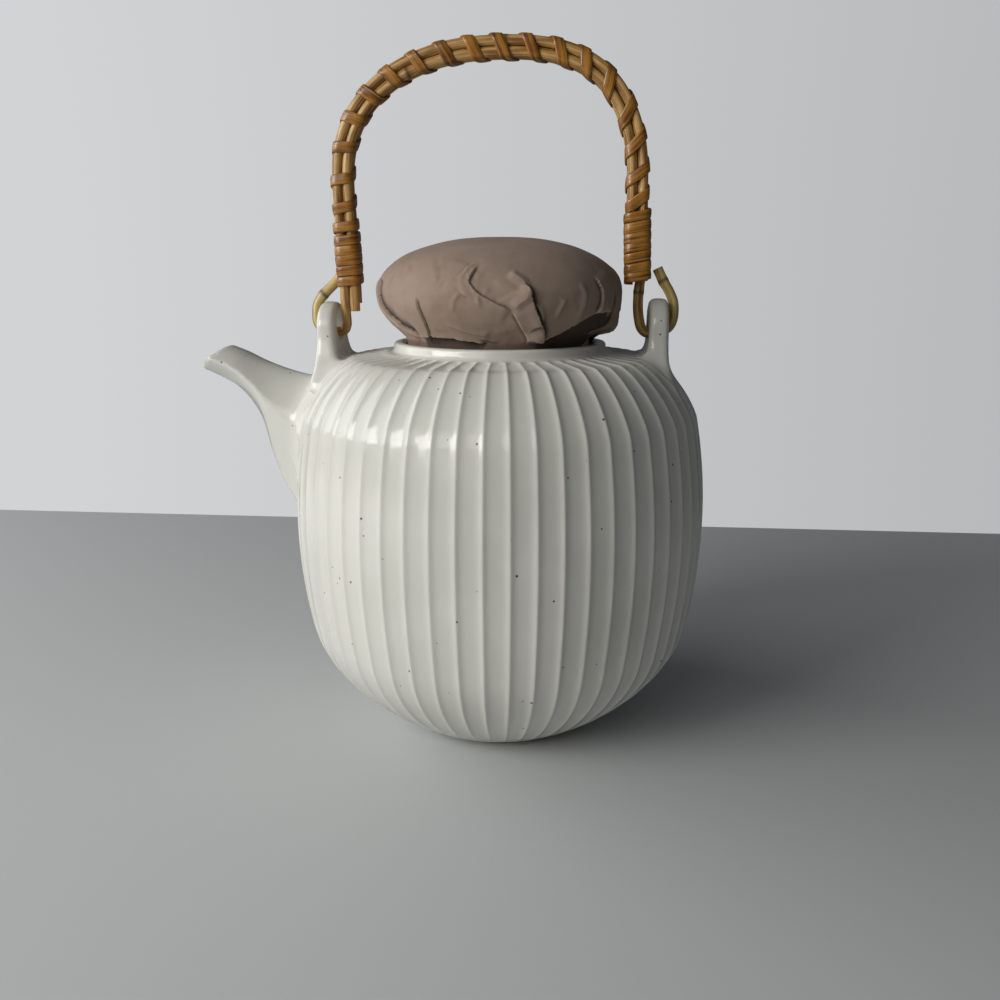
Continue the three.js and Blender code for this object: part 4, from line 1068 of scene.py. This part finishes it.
class Crease:
    """The paper's points near a crease: their distance to it, positive on its left, and its left way."""

    def __init__(self, points, normals, places):
        line = crease_line(places)
        low, high = line.min(axis=0) - CREASE_REACH, line.max(axis=0) + CREASE_REACH
        self.near = np.flatnonzero(np.all((points > low) & (points < high), axis=1))
        points, normals = points[self.near], normals[self.near]
        best = np.full(len(points), 1e9)
        side = np.ones(len(points))
        share = np.zeros(len(points))
        self.left = np.zeros((len(points), 3))
        length = 0.0
        for a, b in zip(line, line[1:]):
            step = b - a
            size = np.linalg.norm(step)
            t = np.clip((points - a) @ step / size**2, 0, 1)
            offset = points - a - t[:, None] * step
            distance = np.linalg.norm(offset, axis=1)
            closer = distance < best
            best[closer] = distance[closer]
            across = np.cross(normals[closer], step / size)
            self.left[closer] = across
            side[closer] = np.where(np.sum(across * offset[closer], axis=1) >= 0, 1, -1)
            share[closer] = length + t[closer] * size
            length += size
        self.distance = best * side
        self.window = 1 - smooth_step(best, CREASE_REACH * 0.6, CREASE_REACH)
        self.from_end = np.minimum(share, length - share)


def paper_shift(points, normals):
    """How far each point of the paper moves from its plain form, and a mark for its colour there: paler
    along rubbed creases, and painted shade where negative.
    """
    noise = Noise(5)
    azimuth = np.degrees(np.arctan2(points[:, 1], points[:, 0]))
    x, y, z = points.T
    below = smooth_step(LID_RIM_Z + 3 - z, 0, 14)
    height = WAVE_H * noise(points, WAVE_CELL) + RIPPLE_H * noise(points + 40, RIPPLE_CELL) * (0.5 + below)
    crumple = 1 - np.abs(noise(points + 90, CRUMPLE_CELL)) * 2
    height += CRUMPLE_H * crumple * (0.35 + 0.65 * below)
    sideways = np.zeros(points.shape)
    worn_and_shaded = np.zeros(len(points))
    for lift, groove, groove_width, fade, places in [*FOLDS, *gather_folds()]:
        crease = Crease(points, normals, places)
        distance = crease.distance
        past = np.clip(distance, 0, None)
        taper = smooth_step(crease.from_end, -0.3, 2.6) * crease.window
        edge = smooth_step(distance, -CREASE_HALF, CREASE_HALF)
        on_top = lift * edge * np.exp(-past / fade)
        under = groove * (1 - edge) * np.exp(-((distance / groove_width) ** 2) / 2)
        height[crease.near] += taper * (on_top - under)
        # the layer on top hangs over the one beside it
        over = FOLD_OVERHANG * lift * edge * np.exp(-past / 2.5)
        sideways[crease.near] -= crease.left * (taper * over)[:, None]
        worn_and_shaded[crease.near] += WORN * taper * lift * np.exp(-(((distance - 0.3) / WORN_WIDTH) ** 2))
        # painted shade in the groove beside the fold
        shaded = (1 - edge) * np.exp(-((distance / groove_width / 2.4) ** 2))
        worn_and_shaded[crease.near] -= SHADED * taper * groove * shaded
    for lift, width, places in [*RIDGES, *small_creases()]:
        crease = Crease(points, normals, places)
        distance = np.abs(crease.distance)
        taper = smooth_step(crease.from_end, -0.3, 2.0)
        height[crease.near] += lift * taper * np.clip(1 - distance / width, 0, 1)
        # paler rubbed line along a raised crease; along a sunken one the same term is painted shade
        worn_and_shaded[crease.near] += WORN * lift * taper * np.exp(-((distance / WORN_WIDTH) ** 2))
    for place, up, reach, tall, out in BULGES:
        apart = (azimuth - place + 180) % 360 - 180
        height += out * np.exp(-((apart / reach) ** 2) - ((z - up) / tall) ** 2)
    inside_collar = smooth_step(z, COLLAR_TOP_Z - 0.5, COLLAR_TOP_Z + 2)
    # painted shade on the paper low in the neck, next to the collar
    worn_and_shaded -= NECK_SHADED * (1 - smooth_step(z, COLLAR_TOP_Z + 0.5, COLLAR_TOP_Z + 3))
    # painted shadow on the paper under the large flap, darker farther below the flap's edge
    drop = np.interp(azimuth, *zip(*FLAP)) - z
    flap_shadow_span = smooth_step(azimuth, *FLAP_SHADOW_FROM) * (1 - smooth_step(azimuth, *FLAP_SHADOW_TO))
    worn_and_shaded -= FLAP_PAINTED_SHADOW * smooth_step(drop, 0.4, 3.5) * flap_shadow_span
    room = PAPER_CLEAR_X - x + 0.4 * np.clip(np.abs(y) - LEG_CLEAR_Y, 0, None) ** 2
    height = np.minimum(height, np.where(x > 0, room, np.inf))
    sink = PAPER_SINK_LOW + (PAPER_SINK_HIGH - PAPER_SINK_LOW) * smooth_step(z, 143, 146)
    height = np.where(height > 0, height * inside_collar, np.maximum(height, -sink))
    return normals * height[:, None] + sideways * inside_collar[:, None], np.clip(worn_and_shaded, -1, 1)


def paper_normals(grid):
    """Normals of a ring-shaped grid of points, from its differences."""
    around = np.roll(grid, -1, axis=0) - np.roll(grid, 1, axis=0)
    down = np.gradient(grid, axis=1)
    normals = np.cross(down, around)
    return normals / np.maximum(np.linalg.norm(normals, axis=2), 1e-9)[..., None]


def make_paper():
    """The sheet folded over the lid, with its creases, gathered under the rim."""
    profile = spline(PAPER_LINE, 0.3)
    rows = len(profile) - 1
    noise = Noise(9)
    azimuth = np.arange(PAPER_COLUMNS) * 2 * math.pi / PAPER_COLUMNS
    rim = around_axis(LID_R - 2, azimuth, 0)
    broad, fine = PAPER_END_UNEVEN
    end = PAPER_END + broad * noise(rim, 9.0) + fine * noise(rim + 50, 2.5)
    slit, reach, depth = PAPER_SLIT
    apart = (np.degrees(azimuth) - slit + 180) % 360 - 180
    end -= depth * np.exp(-((apart / reach) ** 2))
    share = np.linspace(0, 1, PAPER_ROWS + 1)[1:]
    index = np.clip(end[:, None] * share[None, :], 0, 1) * rows
    radius = np.interp(index, np.arange(rows + 1), profile[:, 0])
    up = np.interp(index, np.arange(rows + 1), profile[:, 1])
    grid = around_axis(radius, azimuth[:, None], up)
    normals = paper_normals(grid)
    shift, worn_and_shaded = paper_shift(grid.reshape(-1, 3), normals.reshape(-1, 3))
    outer = grid + shift.reshape(grid.shape) * smooth_step(radius, 0, 6)[..., None]
    inner = outer - paper_normals(outer) * PAPER_THICK
    top = np.array([0, 0, profile[0][1]])
    count = outer.size // 3
    vertices = np.concatenate([outer.reshape(-1, 3), inner.reshape(-1, 3), [top, top - (0, 0, PAPER_THICK)]])
    faces = []
    last = PAPER_ROWS - 1
    for k in range(PAPER_COLUMNS):
        here = k * PAPER_ROWS
        after = (k + 1) % PAPER_COLUMNS * PAPER_ROWS
        faces.append((2 * count, here, after))
        faces.append((2 * count + 1, count + after, count + here))
        for i in range(last):
            faces.append((here + i, here + i + 1, after + i + 1, after + i))
            faces.append((count + here + i, count + after + i, count + after + i + 1, count + here + i + 1))
        faces.append((here + last, count + here + last, count + after + last, after + last))
    paper = mesh_piece("wrapping_paper", vertices, faces, "lid")
    # the mark is paler along rubbed creases and is painted shade where negative
    mark_points(paper, "wear_and_shade", np.concatenate([worn_and_shaded, worn_and_shaded, [0, 0]]))
    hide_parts("paper_wrap")
    return paper


BUNDLE = Bundle()


# Camera at the photograph's viewing angle
ROOM_LIGHT = 0.085
FLOOR_END = 0.258  # where the floor stops and the backdrop begins
FLOOR_SIZE = 3.0
FRAME_PX = 1000
FOCAL_PX = 920
SENSOR = 36.0
CAMERA_AT = Vector((29.3, -334.7, 170.2)) * MM
CAMERA_YAW = math.radians(5)
CAMERA_PITCH = 0.255
LAMP_TARGET = Vector((0, 0, 0.1))
WARM = (1, 0.99, 0.96)
COOL = (0.97, 0.98, 1)
FLOOR_COLOUR = (0.58, 0.595, 0.6, 1)
ROOM_COLOUR = (0.8, 0.84, 0.9, 1)
BACKDROP_PAINTED_FALLOFF = (0.64, 0.65, 0.665, 1), (0.47, 0.48, 0.49, 1)  # painted light falloff, lighter at the left towards the lamps and darker at the right
BACKDROP_SPAN = (-0.5, 0.45)


def put_in_place(name, data, place, ahead):
    """A camera or lamp at a place, turned to face ahead."""
    made = bpy.data.objects.new(name, data)
    bpy.context.scene.collection.objects.link(made)
    made.location = place
    made.rotation_mode = "QUATERNION"
    made.rotation_quaternion = ahead.to_track_quat("-Z", "Y")
    return made


def make_camera():
    lens = bpy.data.cameras.new("camera")
    lens.sensor_width = SENSOR
    lens.lens = SENSOR * FOCAL_PX / FRAME_PX
    lens.clip_start = 0.01
    level = math.cos(CAMERA_PITCH)
    ahead = Vector((-math.sin(CAMERA_YAW) * level, math.cos(CAMERA_YAW) * level, -math.sin(CAMERA_PITCH)))
    bpy.context.scene.camera = put_in_place("camera", lens, CAMERA_AT, ahead)


def area_light(name, place, size, power, colour):
    lamp = bpy.data.lights.new(name, "AREA")
    lamp.shape = "RECTANGLE"
    lamp.size, lamp.size_y = size
    lamp.energy = power
    lamp.color = colour
    put_in_place(name, lamp, place, LAMP_TARGET - Vector(place))


def make_stage():
    bpy.ops.mesh.primitive_plane_add(size=FLOOR_SIZE, location=(0, FLOOR_END - FLOOR_SIZE / 2, 0))
    floor = bpy.context.object
    floor.name = "floor"
    paint = Shader("floor")
    paint.set(Base_Color=FLOOR_COLOUR, Roughness=0.7)
    floor.data.materials.append(paint.material)
    world = bpy.data.worlds.new("studio")
    bpy.context.scene.world = world
    world.use_nodes = True
    tree = world.node_tree
    # the backdrop is paler to the camera than the light that it gives
    room = tree.nodes["Background"]
    room.inputs["Color"].default_value = ROOM_COLOUR
    room.inputs["Strength"].default_value = ROOM_LIGHT
    backdrop = tree.nodes.new("ShaderNodeBackground")
    way = tree.nodes.new("ShaderNodeSeparateXYZ")
    tree.links.new(tree.nodes.new("ShaderNodeTexCoord").outputs["Generated"], way.inputs[0])
    across = tree.nodes.new("ShaderNodeMapRange")
    tree.links.new(way.outputs[0], across.inputs["Value"])
    across.inputs["From Min"].default_value, across.inputs["From Max"].default_value = BACKDROP_SPAN
    # painted light falloff across the backdrop, from left to right
    shade = tree.nodes.new("ShaderNodeMix")
    shade.data_type = "RGBA"
    shade.inputs[6].default_value, shade.inputs[7].default_value = BACKDROP_PAINTED_FALLOFF
    tree.links.new(across.outputs[0], shade.inputs[0])
    tree.links.new(shade.outputs[2], backdrop.inputs["Color"])
    path = tree.nodes.new("ShaderNodeLightPath")
    either = tree.nodes.new("ShaderNodeMixShader")
    tree.links.new(path.outputs["Is Camera Ray"], either.inputs[0])
    tree.links.new(room.outputs[0], either.inputs[1])
    tree.links.new(backdrop.outputs[0], either.inputs[2])
    tree.links.new(either.outputs[0], tree.nodes["World Output"].inputs["Surface"])
    area_light("window", (-0.83, -0.6, 0.5), (0.62, 0.5), 7.5, WARM)
    area_light("front_light", (-0.38, -0.86, 0.62), (0.5, 0.5), 1.35, WARM)
    area_light("side_light", (-1.1, 0.15, 0.6), (0.9, 0.9), 4.6, COOL)


class Shader:
    """Short ways to build a material's nodes."""

    def __init__(self, name):
        self.material = bpy.data.materials.new(name)
        self.material.use_nodes = True
        self.tree = self.material.node_tree
        self.principled = self.tree.nodes["Principled BSDF"]

    def node(self, kind, values=None, **settings):
        node = self.tree.nodes.new(kind)
        for key, value in settings.items():
            setattr(node, key, value)
        for key, value in (values or {}).items():
            if hasattr(value, "is_output"):
                self.tree.links.new(value, node.inputs[key])
            else:
                node.inputs[key].default_value = value
        return node

    def coordinate(self, kind):
        return self.node("ShaderNodeTexCoord").outputs[kind]

    def axis(self, vector, number):
        return self.node("ShaderNodeSeparateXYZ", {0: vector}).outputs[number]

    def marked(self, name):
        settings = {"attribute_name": name, "attribute_type": "GEOMETRY"}
        return self.node("ShaderNodeAttribute", **settings).outputs["Fac"]

    def math(self, operation, a, b=0.0, c=0.0):
        return self.node("ShaderNodeMath", {0: a, 1: b, 2: c}, operation=operation).outputs[0]

    def ramp(self, value, low, high, to_low=0.0, to_high=1.0):
        keys = {"Value": value, "From Min": low, "From Max": high, "To Min": to_low, "To Max": to_high}
        return self.node("ShaderNodeMapRange", keys, interpolation_type="SMOOTHSTEP").outputs[0]

    def mix(self, share, a, b):
        node = self.node("ShaderNodeMix", {0: share, 6: a, 7: b}, data_type="RGBA")
        return node.outputs[2]

    def noise(self, vector, scale, detail=3.0, roughness=0.5):
        keys = {"Vector": vector, "Scale": scale, "Detail": detail, "Roughness": roughness}
        return self.node("ShaderNodeTexNoise", keys).outputs[0]

    def set(self, **values):
        for key, value in values.items():
            socket = self.principled.inputs[key.replace("_", " ")]
            if hasattr(value, "is_output"):
                self.tree.links.new(value, socket)
            else:
                socket.default_value = value

    def bump(self, height, distance, strength=1.0, under=None):
        keys = {"Height": height, "Distance": distance * MM, "Strength": strength}
        if under is not None:
            keys["Normal"] = under
        return self.node("ShaderNodeBump", keys).outputs[0]


def glaze_material():
    """Off-white glaze with small iron specks, over grey-buff clay."""
    shader = Shader("stoneware_glaze")
    place = shader.coordinate("Object")
    height = shader.axis(place, 2)
    cloud = shader.noise(place, 28)
    colour = shader.mix(shader.ramp(cloud, 0.35, 0.65), *GLAZE_COLOURS)
    specks = None
    for scale, size, share in SPECKS:
        cell = shader.node("ShaderNodeTexVoronoi", {"Vector": place, "Scale": scale, "Randomness": 1.0})
        chance = shader.node("ShaderNodeSeparateColor", {0: cell.outputs["Color"]})
        present = shader.math("GREATER_THAN", chance.outputs[0], share)
        reach = shader.math("MULTIPLY", chance.outputs[1], size)
        spot = shader.math("SUBTRACT", 1.0, shader.math("DIVIDE", cell.outputs["Distance"], reach))
        spot = shader.math("MULTIPLY", shader.ramp(spot, 0.0, 0.45), present)
        specks = spot if specks is None else shader.math("MAXIMUM", specks, spot)
    colour = shader.mix(shader.math("MULTIPLY", specks, 0.95), colour, SPECK_COLOUR)
    clay = shader.mix(shader.noise(place, 700, 4), *CLAY_COLOURS)
    edge = shader.math("MULTIPLY_ADD", shader.noise(place, 60), 1.6 * MM, height)
    bare = shader.ramp(edge, (GLAZE_LINE + 1.2) * MM, (GLAZE_LINE + 0.7) * MM)
    colour = shader.mix(bare, colour, clay)
    roughness = shader.math("MULTIPLY_ADD", shader.noise(place, 90), 0.08, 0.1)
    roughness = shader.math("MAXIMUM", roughness, shader.math("MULTIPLY", bare, 0.85))
    ripple = shader.bump(shader.noise(place, 110, 1.0), 0.5, 0.12)
    skin = shader.bump(shader.noise(place, 900, 2.0), 0.04, 0.25, ripple)
    pits = shader.bump(specks, -0.06, 0.6, skin)
    shader.set(Base_Color=colour, Roughness=roughness, Normal=pits, IOR=1.5)
    return shader.material


def rattan_material(name, colours, gloss, coat):
    """Peeled cane: long fibres along the piece, and darker rings at its joints."""
    shader = Shader(name)
    uv = shader.coordinate("UV")
    along, around = shader.axis(uv, 0), shader.axis(uv, 1)

    def stretched(along_scale, around_scale):
        u = shader.math("MULTIPLY", along, along_scale)
        v = shader.math("MULTIPLY", around, around_scale)
        return shader.node("ShaderNodeCombineXYZ", {0: u, 1: v, 2: 0.0}).outputs[0]

    fibre = shader.noise(stretched(0.7, 22.0), 1.0, 4.0, 0.6)
    streak = shader.noise(stretched(0.35, 9.0), 1.0, 3.0)
    patch = shader.noise(stretched(1.1, 1.5), 1.0, 3.0)
    tone = shader.math("MULTIPLY", patch, 0.4)
    tone = shader.math("MULTIPLY_ADD", streak, 0.85, tone)
    tone = shader.math("MULTIPLY_ADD", fibre, 0.6, tone)
    tone = shader.ramp(tone, *TONE_SPAN)
    # the cane is still greenish where it bends through the lugs
    side = shader.axis(shader.coordinate("Object"), 0)
    outside = shader.math("ABSOLUTE", shader.math("SUBTRACT", side, LUG_PAIR_X * MM))
    green = shader.ramp(outside, *GREEN_SPAN, 0.0, 0.7)
    colour = shader.mix(green, shader.mix(tone, *colours), shader.mix(tone, *GREEN_CANE_COLOURS))
    colour = shader.mix(shader.math("MULTIPLY", shader.marked("joint"), 0.9), colour, JOINT_COLOUR)
    roughness = shader.ramp(fibre, 0.3, 0.7, gloss, gloss + 0.16)
    relief = shader.bump(fibre, 0.14, 0.7)
    shader.set(Base_Color=colour, Roughness=roughness, Normal=relief, Coat_Weight=coat, Coat_Roughness=0.14)
    return shader.material


def cane_end_material():
    """The cut end of a cane, with its pores."""
    shader = Shader("rattan_cut_end")
    place = shader.coordinate("Object")
    cells = shader.node("ShaderNodeTexVoronoi", {"Vector": place, "Scale": 2600.0}).outputs["Distance"]
    colour = shader.mix(shader.ramp(cells, 0.15, 0.5), *CUT_COLOURS)
    shader.set(Base_Color=colour, Roughness=0.8, Normal=shader.bump(cells, 0.15, 0.6))
    return shader.material


def paper_material():
    """Matte taupe wrapping paper with short fibres and a faint bloom."""
    shader = Shader("taupe_paper")
    place = shader.coordinate("Object")
    cloud = shader.noise(place, 45, 4.0, 0.55)
    colour = shader.mix(shader.ramp(cloud, 0.3, 0.7), *PAPER_COLOURS)
    fleck = shader.noise(place, 1500, 2.0)
    colour = shader.mix(shader.ramp(fleck, 0.62, 0.8, 0.0, 0.35), colour, FLECK_COLOUR)
    wear_and_shade = shader.marked("wear_and_shade")
    colour = shader.mix(shader.ramp(wear_and_shade, 0.1, 1.0, 0.0, 0.7), colour, WORN_COLOUR)
    # painted shade where the mark is negative
    colour = shader.mix(shader.ramp(wear_and_shade, -0.05, -0.85, 0.0, 0.85), colour, SHADED_COLOUR)
    fibres = shader.noise(place, 800, 3.0, 0.7)
    rumple = shader.bump(shader.noise(place, 170, 4.0, 0.6), 0.3, 0.4)
    grain = shader.bump(fibres, 0.06, 0.5, rumple)
    shader.set(Base_Color=colour, Roughness=0.82, Normal=grain, Sheen_Weight=0.06, Specular_IOR_Level=0.3)
    return shader.material


scene = bpy.context.scene
scene.view_settings.view_transform = "Standard"
make_camera()
make_stage()
glaze = glaze_material()
rattan = rattan_material("rattan_cane", CANE_COLOURS, 0.28, 0.15)
cane_end = cane_end_material()
peel = rattan_material("rattan_peel", PEEL_COLOURS, 0.19, 0.38)
make_pot().data.materials.append(glaze)
make_lid().data.materials.append(glaze)
make_paper().data.materials.append(paper_material())
for cane in make_canes():
    cane.data.materials.append(rattan)
    cane.data.materials.append(cane_end)
for strip in make_strips():
    strip.data.materials.append(peel)
